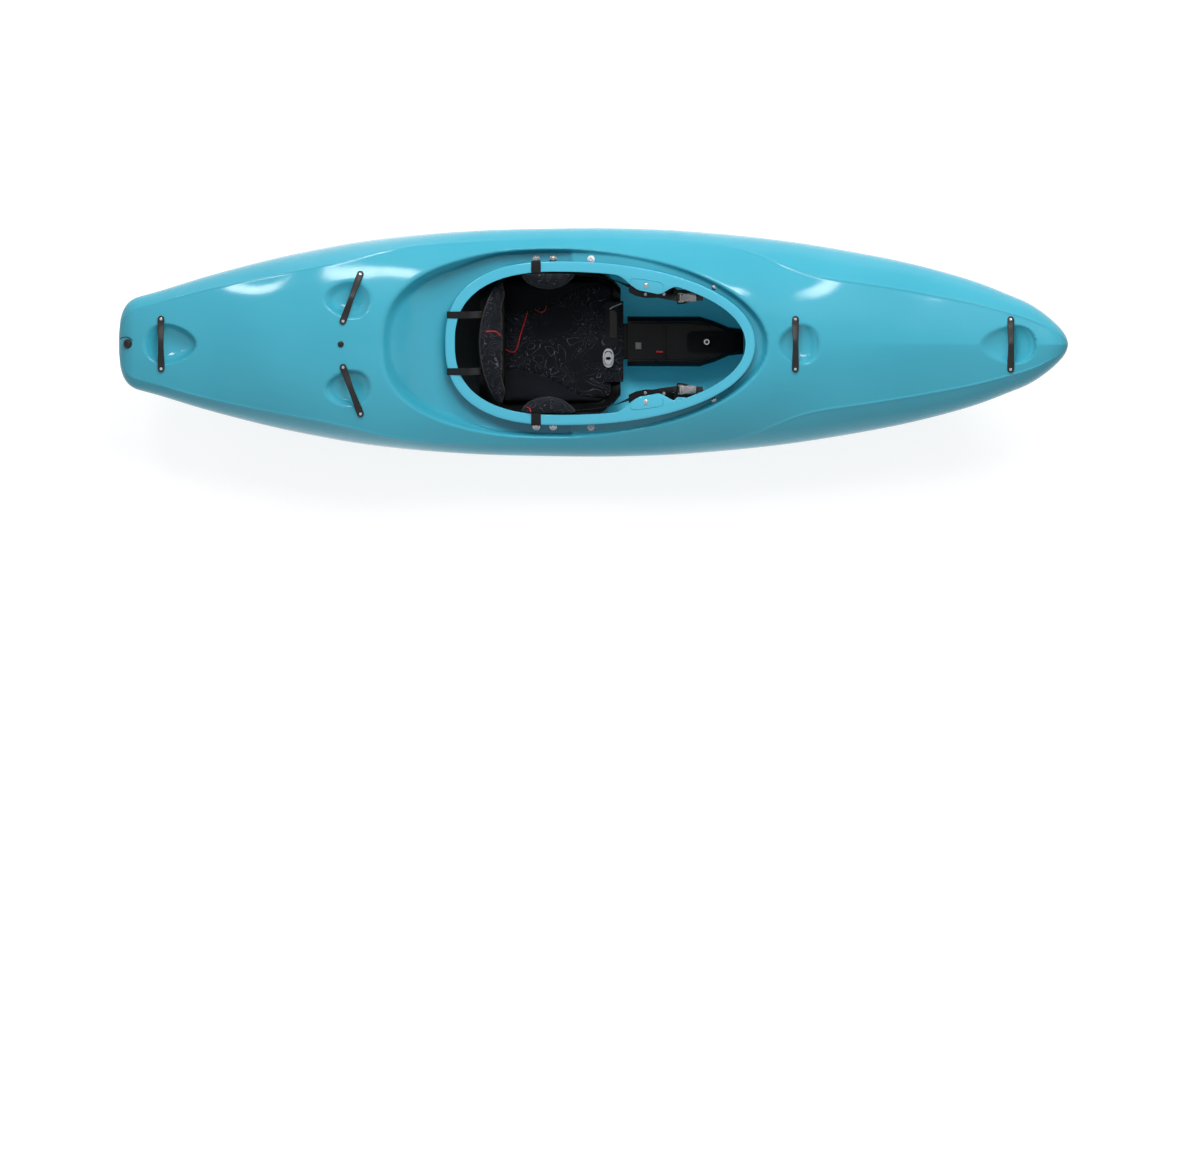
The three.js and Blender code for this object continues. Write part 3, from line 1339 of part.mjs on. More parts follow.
// Pillars of foam between the bottom and the deck
const pillar = (rear, front, half) => fitInside(
  block(point(rear, -half, 0), point(front, half, highAbove)), up,
);
const pillarHole = drill(middleBolts[0].seat, middleBolts[0].axis, pillarBolt);
addPiece("rear_pillar", pillar(rearPillarRear, rearPillarFront, rearPillarHalf).subtract(pillarHole), foam);
const foamRearX = footplateX - padGap - foamThickness;
const [frontPillarRear, frontPillarFront] = frontPillarShares.map((share) => (
  lerp(consoleFront, foamRearX, share)
));
addPiece("front_pillar", pillar(frontPillarRear, frontPillarFront, frontPillarHalf), foam);

// Foot rails on the flanks and the bulkhead that slides along them
const railInnerY = slotFloorAt(railSlotX).y - railStandOff;
const railBar = (grow) => block(
  point(railRear, railInnerY - grow, railSlotZ - railHeight / 2 - grow),
  point(railFront, railInnerY + railThickness + grow, railSlotZ + railHeight / 2 + grow),
);
function footRailSolid() {
  const boss = block(
    point(railSlotX - railBossLength / 2, railInnerY + railThickness / 2, railSlotZ - railBossHeight / 2),
    point(railSlotX + railBossLength / 2, halfBeam, railSlotZ + railBossHeight / 2),
  );
  let rail = railBar(0).add(fitInside(boss, port));
  pairedBolts.filter(({ name }) => name.startsWith("rail_bolt")).forEach(({ seat, axis, size }) => {
    rail = rail.subtract(drill(seat, axis, size));
  });
  return rail;
}

// A plate across the hull, shaped like the section where it would stand farthest forward
const plateSteps = [6, 2, 3];
function acrossPlate(rear, front, inset, half) {
  const place = placeOf(footplateFarX);
  const ring = sectionRing(place, inset, plateSteps);
  const solid = loft([rear, front].map((x) => ring.map((p) => point(x, p.y, p.z))));
  return solid.intersect(block(
    point(rear - cutOverrun, -half, 0), point(front + cutOverrun, half, footplateTop),
  ));
}

function footplateSolid() {
  let plate = acrossPlate(footplateX, footplateX + footplateThickness, footplateInset, footplateHalf);
  sides.forEach(([, side]) => {
    const middle = footplateX + footplateThickness / 2;
    const shoe = block(
      point(middle - shoeLength / 2, footplateHalf - shoeWidth, railSlotZ - shoeHeight / 2),
      point(middle + shoeLength / 2, railInnerY + shoeReach, railSlotZ + shoeHeight / 2),
    );
    plate = plate.add(onSide(shoe, side)).subtract(onSide(railBar(shoeGap), side));
  });
  return plate;
}

sides.forEach(([label, side]) => {
  addPiece(`foot_rail_${label}`, onSide(footRailSolid(), side), aluminium);
});
addPiece("footplate", footplateSolid(), blackPlastic);
addPiece("footplate_foam", acrossPlate(
  foamRearX, footplateX - padGap, footplateInset + foamInset, foamHalf,
), foam);

export default kayak;
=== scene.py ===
import math

import bmesh
import bpy
import numpy as np
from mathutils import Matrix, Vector


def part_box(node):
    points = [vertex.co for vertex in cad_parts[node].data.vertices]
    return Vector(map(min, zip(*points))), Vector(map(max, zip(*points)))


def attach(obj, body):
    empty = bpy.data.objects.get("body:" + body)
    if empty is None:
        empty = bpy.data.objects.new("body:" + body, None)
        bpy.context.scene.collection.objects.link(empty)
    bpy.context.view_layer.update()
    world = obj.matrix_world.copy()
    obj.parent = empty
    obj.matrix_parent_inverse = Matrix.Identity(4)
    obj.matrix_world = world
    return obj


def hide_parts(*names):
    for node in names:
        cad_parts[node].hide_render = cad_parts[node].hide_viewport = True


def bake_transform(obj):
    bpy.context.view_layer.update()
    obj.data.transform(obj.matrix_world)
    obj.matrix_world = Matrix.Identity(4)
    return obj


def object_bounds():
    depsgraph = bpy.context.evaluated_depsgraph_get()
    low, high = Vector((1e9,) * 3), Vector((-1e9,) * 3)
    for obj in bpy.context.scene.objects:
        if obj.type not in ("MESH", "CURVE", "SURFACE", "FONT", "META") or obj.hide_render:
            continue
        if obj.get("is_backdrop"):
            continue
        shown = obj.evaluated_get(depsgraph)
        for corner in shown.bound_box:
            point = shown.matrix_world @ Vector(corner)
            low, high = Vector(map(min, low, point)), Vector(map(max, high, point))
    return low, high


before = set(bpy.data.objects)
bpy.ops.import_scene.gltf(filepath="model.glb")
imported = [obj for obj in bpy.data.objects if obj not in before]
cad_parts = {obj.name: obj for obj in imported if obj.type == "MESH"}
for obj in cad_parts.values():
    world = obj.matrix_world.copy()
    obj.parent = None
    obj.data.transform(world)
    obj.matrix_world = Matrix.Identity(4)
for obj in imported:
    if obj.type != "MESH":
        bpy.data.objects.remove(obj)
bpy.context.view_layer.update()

# Camera and light. The picture is taken from straight above with a long lens, leaning a little
# to port, and the boat lies in the upper half of the frame on a white sweep.
bpy.ops.object.camera_add()
camera = bpy.context.object
camera.name = "camera"
lean = math.radians(3.0)
distance = 24.0
aim = Vector((0.0217, -0.689, 0.21))
camera.location = aim + distance * Vector((0, math.sin(lean), math.cos(lean)))
camera.rotation_euler = (-lean, 0, 0)
sensor, shown_width = 36.0, 3.495
camera.data.sensor_width = sensor
camera.data.lens = sensor * distance / shown_width
camera.data.clip_end = 60.0

scene = bpy.context.scene
scene.camera = camera
scene.view_settings.view_transform = "Standard"


def added(tree, kind, inputs=None, **settings):
    """A new node in a tree, with its settings first and then its inputs' values."""
    node = tree.nodes.new("ShaderNode" + kind)
    for name, value in settings.items():
        setattr(node, name, value)
    for name, value in (inputs or {}).items():
        node.inputs[name].default_value = value
    return node


def wired(tree, *wires):
    """Links nodes. Each wire is a node, its output, the next node and that one's input."""
    for source, output, target, place in wires:
        tree.links.new(source.outputs[output], target.inputs[place])


def by_ray(tree, lit, seen):
    """Shows one shader to the camera and in reflections, and lights the scene with the other."""
    path = added(tree, "LightPath")
    seen_or_through = added(tree, "Math", operation="MAXIMUM")
    or_glossy = added(tree, "Math", operation="MAXIMUM")
    mix = added(tree, "MixShader")
    wired(
        tree, (path, "Is Camera Ray", seen_or_through, 0),
        (path, "Is Transmission Ray", seen_or_through, 1), (seen_or_through, "Value", or_glossy, 0),
        (path, "Is Glossy Ray", or_glossy, 1), (or_glossy, "Value", mix, "Fac"),
        (lit, 0, mix, 1), (seen, 0, mix, 2),
    )
    return mix


world = bpy.data.worlds.new("studio")
scene.world = world
world.use_nodes = True
tree = world.node_tree
tree.nodes.clear()
seen = added(tree, "Background", {"Color": (1, 1, 1, 1), "Strength": 1.0})
lit = added(tree, "Background", {"Color": (0.95, 0.98, 1.0, 1), "Strength": 0.34})
wired(tree, (by_ray(tree, lit, seen), "Shader", added(tree, "OutputWorld"), "Surface"))


def softbox(name, place, target, width, height, power, colour):
    """A rectangular lamp at a place, turned towards a target."""
    bpy.ops.object.light_add(type="AREA", location=place)
    lamp = bpy.context.object
    lamp.name = name
    lamp.data.shape = "RECTANGLE"
    lamp.data.size = width
    lamp.data.size_y = height
    lamp.data.energy = power
    lamp.data.color = colour
    lamp.rotation_euler = (Vector(target) - Vector(place)).to_track_quat("-Z", "Y").to_euler()
    return lamp


centre_line = (0.3, 0, 0.3)
key = softbox("key", (1.0, 3.2, 2.7), centre_line, 3.2, 1.0, 106, (1, 1, 1))
top = softbox("top", (0.5, 1.9, 3.8), centre_line, 2.4, 0.8, 58, (1, 1, 1))
fill = softbox("fill", (-0.1, -3.6, 1.6), (0, 0, 0.3), 3.4, 1.4, 36, (0.95, 0.98, 1))
for lamp in (key, top, fill):
    lamp.visible_glossy = False

# the small lamps that leave the highlights on the deck: where along the boat, how wide, how bright
windows = ((-4.3, 0.9, 14), (-2.2, 0.7, 28), (-0.5, 0.9, 32), (0.35, 0.7, 24))
for i, (x, width, power) in enumerate(windows):
    softbox("window_" + str(i + 1), (x, 2.62, 3.6), (x, 0, 0.3), width, 0.52, power, (1, 1, 1))

# Floor. A large flat plane of white studio paper under the boat, which keeps the boat's soft
# shadow.
bpy.ops.mesh.primitive_plane_add(size=40, location=(0, 0, -0.0005))
floor = bpy.context.object
floor.name = "floor"
floor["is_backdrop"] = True


def principled(name, inputs):
    """A new material and its main shader, with the values of that shader's inputs."""
    made = bpy.data.materials.new(name)
    made.use_nodes = True
    shade = made.node_tree.nodes["Principled BSDF"]
    for key, value in inputs.items():
        shade.inputs[key].default_value = value
    return made, shade


paper, lit_paper = principled("white_sweep", {"Base Color": (0.9, 0.9, 0.9, 1), "Roughness": 0.9})
tree = paper.node_tree
seen_paper = added(tree, "BsdfDiffuse", {"Color": (0.38, 0.38, 0.38, 1)})
glow = added(tree, "Emission", {"Strength": 0.78})
both = added(tree, "AddShader")
wired(tree, (seen_paper, 0, both, 0), (glow, 0, both, 1))
wired(tree, (by_ray(tree, lit_paper, both), 0, tree.nodes["Material Output"], "Surface"))
floor.data.materials.append(paper)

# Hull shell. Rotomoulded polyethylene, drawn from its own lines: an outer and an inner skin, whose
# deck is pressed down into the moat, the bowl behind the cockpit and the hand hollows.
length, half_beam, height, wall = 2.740, 0.333, 0.492, 0.005


def curve_through(rows):
    """A smooth curve through rows of [place, value] that never overshoots between two of them."""
    at = np.array(rows, float)
    gap = np.diff(at[:, 0])
    slope = np.diff(at[:, 1]) / gap
    lean = np.empty(len(at))
    lean[0], lean[-1] = slope[0], slope[-1]
    product = slope[:-1] * slope[1:]
    total = np.where(product > 0, slope[:-1] + slope[1:], 1)
    lean[1:-1] = np.where(product > 0, 2 * product / total, 0)

    def value(place):
        i = np.clip(np.searchsorted(at[:, 0], place, side="right") - 1, 0, len(at) - 2)
        t = np.clip((place - at[i, 0]) / gap[i], 0, 1)
        rise = t * t * (3 - 2 * t)
        start = at[i, 1] * (1 - rise) + at[i + 1, 1] * rise
        return start + t * (1 - t) * gap[i] * ((1 - t) * lean[i] - t * lean[i + 1])

    return value


def faired(rows, blur=0.009):
    """The same curve with its slope changes eased out, as a long batten would lie."""
    sharp = curve_through(rows)
    fine = np.linspace(-0.05, 1.05, 1101)
    kernel = np.exp(-0.5 * (np.arange(-40, 41) * 0.001 / blur) ** 2)
    ends = sharp(np.array([0.0, 0.001, 0.999, 1.0]))
    values = sharp(fine)
    values = np.where(fine < 0, ends[0] + (ends[1] - ends[0]) * fine / 0.001, values)
    values = np.where(fine > 1, ends[3] + (ends[3] - ends[2]) * (fine - 1) / 0.001, values)
    values = np.convolve(np.pad(values, 40, mode="edge"), kernel / kernel.sum(), mode="valid")
    return lambda place: np.interp(place, fine, values)


beam_at = faired([
    [0, 0.36], [0.0422, 0.456], [0.0844, 0.565], [0.1266, 0.661], [0.1689, 0.748], [0.2111, 0.82],
    [0.2533, 0.882], [0.2955, 0.925], [0.3377, 0.957], [0.4011, 0.986], [0.5066, 1],
    [0.5699, 0.988], [0.6332, 0.952], [0.6966, 0.897], [0.7599, 0.818], [0.8232, 0.719],
    [0.8654, 0.634], [0.9077, 0.53], [0.9499, 0.39], [1, 0.235],
])
keel_at = faired([
    [0, 0.655], [0.0212, 0.602], [0.0635, 0.491], [0.1058, 0.385], [0.1481, 0.297], [0.1905, 0.215],
    [0.2328, 0.144], [0.2751, 0.085], [0.3175, 0.05], [0.3598, 0.026], [0.4021, 0.008], [0.4656, 0],
    [0.5714, 0], [0.6138, 0.008], [0.6561, 0.026], [0.6984, 0.05], [0.7407, 0.091], [0.7831, 0.144],
    [0.8254, 0.215], [0.8677, 0.315], [0.9101, 0.443], [0.9524, 0.608], [0.9735, 0.713], [1, 0.87],
])
beam_height_at = faired([
    [0, 0.69], [0.0381, 0.642], [0.0812, 0.61], [0.1354, 0.569], [0.2, 0.522], [0.2646, 0.48],
    [0.3228, 0.457], [0.3661, 0.439], [0.4528, 0.423], [0.5175, 0.423], [0.6402, 0.439],
    [0.6984, 0.47], [0.7767, 0.514], [0.856, 0.591], [0.9217, 0.687], [0.9612, 0.768], [1, 0.885],
])
deck_height_at = faired([
    [0, 0.752], [0.0212, 0.778], [0.0423, 0.797], [0.0847, 0.817], [0.127, 0.85], [0.1429, 0.872],
    [0.1852, 0.883], [0.217, 0.886], [0.2434, 0.88], [0.2751, 0.862], [0.3228, 0.82], [0.37, 0.775],
    [0.42, 0.755], [0.5, 0.775], [0.55, 0.805], [0.6, 0.84], [0.65, 0.862], [0.7, 0.868],
    [0.8, 0.87], [0.8556, 0.893], [0.9217, 0.923], [0.9587, 0.965], [0.982, 0.998], [1, 1.004],
], 0.017)
crease_height_at = faired([
    [0, 0.748], [0.0275, 0.774], [0.0921, 0.785], [0.1566, 0.795], [0.2108, 0.809], [0.2434, 0.789],
    [0.2868, 0.742], [0.3228, 0.685], [0.3651, 0.63], [0.4307, 0.59], [0.5, 0.588], [0.56, 0.604],
    [0.61, 0.632], [0.6455, 0.663], [0.69, 0.715], [0.7243, 0.765], [0.7566, 0.793], [0.8, 0.799],
    [0.8434, 0.811], [0.8825, 0.845], [0.9217, 0.878], [0.956, 0.925], [0.98, 0.97], [1, 0.985],
], 0.022)
crease_reach_at = faired([
    [0, 0.74], [0.077, 0.806], [0.2121, 0.81], [0.2385, 0.832], [0.2818, 0.885], [0.3177, 0.903],
    [0.5, 0.9], [0.5931, 0.912], [0.6733, 0.856], [0.7229, 0.69], [0.782, 0.672], [0.8338, 0.657],
    [0.9393, 0.634], [0.972, 0.6], [1, 0.55],
], 0.022)
bottom_fullness_at = faired([[0, 2.1], [0.25, 2.4], [0.5, 2.7], [0.75, 2.4], [1, 2.05]])
crown_fullness_at = faired([
    [0, 2.4], [0.22, 2.2], [0.35, 2.8], [0.62, 3], [0.72, 1.9], [0.80, 1.42], [0.9, 1.25], [1, 1.2],
], 0.022)
rim_height_at = curve_through([
    [0.3442, 0.6463], [0.3759, 0.6443], [0.4478, 0.6565], [0.4901, 0.687], [0.5343, 0.7358],
    [0.5839, 0.7927], [0.6135, 0.8232], [0.6347, 0.8476], [0.6609, 0.8699], [0.6715, 0.874],
])
bowl_rise_at = faired([
    [0.2664, 0.3354], [0.2737, 0.2988], [0.2883, 0.2236], [0.3029, 0.1423], [0.3175, 0.0691],
    [0.3285, 0.0244], [0.3394, 0.002], [0.3449, 0],
])


def ease(t):
    """A soft step from 0 to 1."""
    t = np.clip(t, 0, 1)
    return t * t * (3 - 2 * t)


def end_round(place, share, fullness):
    """Falls from 1 to 0 like an oval's quarter, over the last share of the places up to 1."""
    into = np.clip((place - (1 - share)) / share, 0, 1)
    return (1 - into ** fullness) ** (1 / fullness)


def section_sizes(place, inset):
    """The lines' values at each place along the boat, from 0 at the stern to 1 at the bow."""
    stern_tip, bow_tip = 0.69, 0.915
    closing = end_round(1 - place, 0.017, 2) * end_round(place, 0.02, 2)
    tip = np.where(place < 0.5, stern_tip, bow_tip) * height
    plan = end_round(1 - place, 0.024, 3) * end_round(place, 0.05, 2)

    def level(share):
        return tip + (share * height - tip) * closing

    beam = beam_at(place) * half_beam * plan - inset
    deck = level(deck_height_at(place)) - inset
    return {
        "beam": beam,
        "keel": level(keel_at(place)) - 0.003 * closing + inset,
        "deck": deck,
        "crease": np.minimum(level(crease_height_at(place)) - inset, deck),
        "beam_height": level(beam_height_at(place)),
        "reach": beam * crease_reach_at(place),
        "bottom_power": 2 / bottom_fullness_at(place),
        "crown_power": crown_fullness_at(place),
        "floor": inset,
    }


cockpit_x, opening_rear, opening_front, opening_half = -0.095, 0.304, 0.536, 0.209
opening_rear_power, opening_front_power = 2.5, 2.1
moat_depth = 0.040
moat_oval = (0.525, 0.602, 0.2745, 2.35, 1.93)


def rim_z(x):
    return rim_height_at(x / length + 0.5) * height


def moat_z(x):
    return rim_z(x) - moat_depth + bowl_rise_at(x / length + 0.5) * height


def oval_depth(x, y, rear, front, half, rear_power, front_power):
    """How far inside an oval round the cockpit's centre a point lies, or negative outside it."""
    along = x - cockpit_x
    power = np.where(along >= 0, front_power, rear_power)
    reach = np.where(along >= 0, front, rear)
    share = (np.abs(along / reach) ** power + np.abs(y / half) ** power) ** (1 / power)
    share = np.maximum(share, 0.05)
    return np.hypot(along, y) * (1 / share - 1)


# x, y, length and width of each hand hollow, and the way its narrow end points
hollows = [
    (1.190, 0.0, 0.166, 0.118, -1), (0.596, 0.0, 0.118, 0.118, -1), (-1.226, 0.0, 0.158, 0.118, 1),
    (-0.704, 0.134, 0.132, 0.110, -1), (-0.704, -0.134, 0.132, 0.110, -1),
]
hollow_depth, hollow_lift_share, hollow_edge = 0.028, 0.36, 0.005
# the step in the moat's floor beside the seat: its front end, inner side, drop and soft edge
shelf_x, shelf_y, shelf_drop, shelf_edge = -0.062, 0.217, 0.012, 0.005


def crown(sizes, y):
    """The bare deck's height, before anything is pressed into it."""
    across = np.clip(np.abs(y) / np.maximum(sizes["reach"], 1e-6), 0, 1)
    rise = 1 - across ** sizes["crown_power"]
    return sizes["crease"] + (sizes["deck"] - sizes["crease"]) * rise


def deck_surface(x, y, sizes, inset):
    """The deck's height with everything that is pressed into it."""
    z = crown(sizes, y)
    lift = hollow_depth * hollow_lift_share
    deep = hollow_depth + lift
    spread = 1 / math.sqrt(1 - (lift / deep) ** 2)
    for hx, hy, hollow_length, hollow_width, point in hollows:
        centre = section_sizes(np.array([hx / length + 0.5]), 0)
        top = crown({k: np.ravel(v) for k, v in centre.items()}, np.array([hy]))[0]
        u = (x - hx) / (hollow_length / 2 * spread + inset)
        egg = 1 - 0.22 * np.clip(u * point, -1, 1)
        v = (y - hy) / ((hollow_width / 2 * spread + inset) * egg)
        round_ = u * u + v * v
        bowl = top + lift - (deep + inset) * np.sqrt(np.clip(1 - round_, 0, 1))
        bowl = np.where(round_ < 1, bowl, z + 1)
        mixed = np.clip(0.5 + 0.5 * (z - bowl) / hollow_edge, 0, 1)
        z = z * (1 - mixed) + bowl * mixed - hollow_edge * mixed * (1 - mixed)
    depth = oval_depth(x, y, *moat_oval) + inset
    floor_z = moat_z(x) - inset
    from_side = np.minimum(np.abs(y) - shelf_y + inset, depth - 0.004)
    shelf = ease(np.minimum(shelf_x - x + inset, from_side) / shelf_edge + 0.5)
    shelf = shelf * ease((x + 0.30) / 0.12)
    floor_z = floor_z - shelf_drop * shelf
    run = 0.0115 + 0.022 * ease((-0.26 - x) / 0.16)
    pressed = z + (floor_z - z) * ease(depth / run)
    return np.where((depth > 0) & (floor_z < z), pressed, z)


def crease_bead(place):
    """How far the rounded bead along the deck's edge stands up, at each place along the boat."""
    fore = 0.0014 * ease((place - 0.63) / 0.05) * (1 - ease((place - 0.965) / 0.02))
    aft = 0.0009 * ease((place - 0.04) / 0.03) * (1 - ease((place - 0.36) / 0.05))
    return fore + aft


def gridded(name, places):
    """A piece whose vertices are rows of [x, y, z] places, each row as long as the others."""
    bpy.ops.object.select_all(action="DESELECT")
    rows, columns = places.shape[:2]
    bpy.ops.mesh.primitive_grid_add(x_subdivisions=columns - 1, y_subdivisions=rows - 1)
    piece = bpy.context.object
    piece.name = name
    piece.data.vertices.foreach_set("co", places.reshape(-1))
    piece.data.update()
    return piece


def skin(name, inset, stations, bottom, topside, deck):
    """A dense skin: one column for each point round the hull, one row for each station."""
    first, last = (0.0001, 0.9999) if inset == 0 else (0.0055, 0.988)
    share = np.linspace(0, 1, stations)
    share = share * 0.7 + (1 - np.cos(share * np.pi)) / 2 * 0.3
    place = (first + (last - first) * share)[:, None]
    sizes = section_sizes(place, inset)
    x = (place - 0.5) * length

    turn = np.linspace(0, np.pi / 2, bottom + 1)[None, :]
    y1 = sizes["beam"] * np.sin(turn) ** sizes["bottom_power"]
    drop = np.cos(turn) ** sizes["bottom_power"]
    z1 = sizes["beam_height"] - (sizes["beam_height"] - sizes["keel"]) * drop
    z1 = np.maximum(z1, sizes["floor"])

    t = 1 - (1 - np.linspace(0, 1, topside + 1)[None, 1:]) ** 1.6
    bend = sizes["beam_height"] + (sizes["crease"] - sizes["beam_height"]) * 0.6
    y2 = sizes["beam"] * (1 - t * t) + sizes["reach"] * t * t
    z2 = sizes["beam_height"] * (1 - t) ** 2 + bend * 2 * t * (1 - t) + sizes["crease"] * t * t

    y3 = sizes["reach"] * (1 - np.linspace(0, 1, deck + 1)[None, 1:] ** 1.25)
    z3 = deck_surface(np.broadcast_to(x, y3.shape), y3, sizes, inset)
    star_z3 = deck_surface(np.broadcast_to(x, y3.shape), -y3, sizes, inset)
    if inset == 0:
        bead_half = 0.0032
        bead = crease_bead(place)
        near = np.hypot(y2 - sizes["reach"], z2 - sizes["crease"])
        raised = bead * np.exp(-((near / bead_half) ** 2))
        y2, z2 = y2 + 0.5 * raised, z2 + 0.87 * raised
        raised = bead * np.exp(-(((sizes["reach"] - y3) / bead_half) ** 2))
        z3, star_z3 = z3 + raised, star_z3 + raised
    port_y = np.hstack([y1, y2, y3])
    port_z = np.hstack([z1, z2, z3])
    star_z = np.hstack([z1, z2, star_z3])
    ys = np.hstack([port_y, -port_y[:, -2::-1]])
    zs = np.hstack([port_z, star_z[:, -2::-1]])

    places = np.stack([np.broadcast_to(x, ys.shape), ys, zs], axis=-1)
    return gridded(name, places[::-1] if inset else places)


def inside_cockpit(co, out):
    """Whether a vertex is above the hull's bottom and inside the cockpit's oval, widened by out."""
    reaches = opening_rear + out, opening_front + out, opening_half + out
    powers = opening_rear_power, opening_front_power
    below_deck = 0.24
    return oval_depth(np.array(co.x), np.array(co.y), *reaches, *powers) > 0 and co.z > below_deck


def only(piece):
    """Selects one piece and nothing else."""
    bpy.ops.object.select_all(action="DESELECT")
    piece.select_set(True)
    bpy.context.view_layer.objects.active = piece


def close_and_open(piece, out):
    """Joins the seam along the keel, closes the tips and takes the deck away inside the coaming.

    Both recesses in the outer skin get a finer mesh."""
    only(piece)
    bpy.ops.object.mode_set(mode="EDIT")
    bpy.ops.mesh.select_all(action="SELECT")
    bpy.ops.mesh.remove_doubles(threshold=2e-5)
    bpy.ops.mesh.select_all(action="DESELECT")
    bpy.ops.mesh.select_non_manifold()
    bpy.ops.mesh.edge_face_add()
    bpy.ops.mesh.select_all(action="DESELECT")
    mesh = bmesh.from_edit_mesh(piece.data)
    for face in mesh.faces:
        face.select_set(all(inside_cockpit(v.co, out) for v in face.verts))
    bmesh.update_edit_mesh(piece.data)
    bpy.ops.mesh.delete(type="FACE")
    if piece.name == "hull_outer":
        mesh = bmesh.from_edit_mesh(piece.data)
        for face in mesh.faces:
            x, y, z = face.calc_center_median()
            by_rail = abs(x - slot_x) < 0.056 and abs(z - slot_z) < 0.034 and abs(y) > slot_side
            by_plate = abs(x - plate_x) < 0.064 and abs(z - plate_z) < 0.034 and y < plate_side
            face.select_set(by_rail or by_plate)
        bmesh.update_edit_mesh(piece.data)
        bpy.ops.mesh.subdivide(number_cuts=3)
    bpy.ops.mesh.select_all(action="SELECT")
    bpy.ops.mesh.normals_make_consistent(inside=piece.name == "hull_inner")
    bpy.ops.object.mode_set(mode="OBJECT")
    bpy.ops.object.shade_smooth()


# the slots for the foot rails' bolts in both flanks, and a bare plate recess by the starboard stern
slot_x, slot_z, slot_length, slot_high, slot_deep = 0.707, 0.208, 0.084, 0.040, 0.007
plate_x, plate_z, plate_length, plate_high, plate_deep = -1.194, 0.278, 0.095, 0.024, 0.0022
slot_side, plate_side = 0.15, -0.05


def points_of(mesh, kind="co"):
    """The places or the normals of a mesh's vertices, one row for each."""
    values = np.empty(len(mesh.vertices) * 3)
    mesh.vertices.foreach_get(kind, values)
    return values.reshape(-1, 3)


def set_points(mesh, places):
    """Moves a mesh's vertices to new places, one row for each."""
    mesh.vertices.foreach_set("co", places.reshape(-1))
    mesh.update()


def recess_flanks(piece, way=-1, margin=0.0):
    """Presses both recesses in, against the outer skin's normals or along the inner skin's."""
    co, normal = points_of(piece.data), points_of(piece.data, "normal")
    x, y, z = co.T
    along = np.maximum(np.abs(x - slot_x) - (slot_length - slot_high) / 2, 0)
    inside = slot_high / 2 + margin - np.hypot(along, z - slot_z)
    press = slot_deep * ease(inside / (0.004 + margin / 2) + 0.1) * (np.abs(y) > slot_side)
    tilt = (x - plate_x) * 0.10
    corner = 0.006
    a = np.maximum(np.abs(x - plate_x) - plate_length / 2 + corner, 0)
    b = np.maximum(np.abs(z - plate_z + tilt) - plate_high / 2 + corner, 0)
    press += plate_deep * ease((corner - np.hypot(a, b)) / 0.003 + 0.1) * (y < plate_side)
    set_points(piece.data, co + normal * way * press[:, None])


outer = skin("hull_outer", 0, 460, 22, 18, 56)
close_and_open(outer, 0.0085)
recess_flanks(outer)
inner = skin("hull_inner", wall, 300, 16, 8, 34)
close_and_open(inner, 0.013)
recess_flanks(inner, 1, 0.012)

# Coaming. The moulded rim of the cockpit: a riser with a rounded foot, a flange with a turned-down
# lip, and a thigh tab swelling inwards on either side.
rim_points, flange_out = 300, 0.028
turns = (np.arange(rim_points) + 0.5) / rim_points * 2 * np.pi


def oval_at(turn, out):
    """The points of the cockpit's oval, widened by out, at each turn."""
    ahead = np.cos(turn) >= 0
    power = np.where(ahead, 2 / opening_front_power, 2 / opening_rear_power)
    reach = np.where(ahead, opening_front + out, -(opening_rear + out))
    x = cockpit_x + np.abs(np.cos(turn)) ** power * reach
    y = np.abs(np.sin(turn)) ** power * (opening_half + out) * np.sign(np.sin(turn))
    return x, y


def tab_reach(x):
    """How far the thigh tabs swell inwards at each x."""
    return 0.002 + 0.036 * ease((x - 0.065) / 0.075) * (1 - ease((x - 0.185) / 0.062))


def welded(piece, angle=40, capped=False):
    """Joins a grid's seams, closes its open ends if asked, and shades it smooth between edges."""
    bpy.ops.object.mode_set(mode="EDIT")
    bpy.ops.mesh.select_all(action="SELECT")
    bpy.ops.mesh.remove_doubles(threshold=1e-6)
    if capped:
        bpy.ops.mesh.select_all(action="DESELECT")
        bpy.ops.mesh.select_non_manifold()
        bpy.ops.mesh.edge_face_add()
        bpy.ops.mesh.select_all(action="SELECT")
    bpy.ops.mesh.normals_make_consistent(inside=False)
    bpy.ops.object.mode_set(mode="OBJECT")
    bpy.ops.object.shade_smooth_by_angle(angle=math.radians(angle))
    return piece


rim_profile = [
    (0.0, 0.0), ("tab", 0.0), ("tab", 0.0006), ("tab", 0.0025), ("tab", 0.0044), ("tab", 0.005),
    (0.0, 0.005), (0.0, 0.012), (0.0, 0.030), (0.0, 0.0450), (0.0006, 0.0462), (0.006, 0.0466),
    (0.0150, 0.0462), (0.0158, 0.0450), (0.0150, 0.0436), (0.0112, 0.0420), (0.0108, 0.0402),
    (0.0092, 0.0394), (0.0070, 0.0380),
    (0.0055, 0.0350), (0.005, 0.030), (0.005, 0.020), (0.0052, 0.0085), (0.0065, 0.0058),
    (0.0100, 0.0050), (0.0200, 0.0050), (0.0232, 0.0056), (0.0240, 0.0075), (0.0242, 0.0105),
    (0.0252, 0.0120), (0.0266, 0.0122), (0.0277, 0.0112), (0.0280, 0.0090), (0.0280, 0.0040),
    (0.0276, 0.0018), (0.0264, 0.0006), (0.0245, 0.0), (0.0180, -0.0002), (0.0090, -0.0002),
]
edge_back = {1: 0.0016, 2: 0.0005, 3: 0.0, 4: 0.0005, 5: 0.0016}
rings = []
edge_x, edge_y = oval_at(turns, 0)
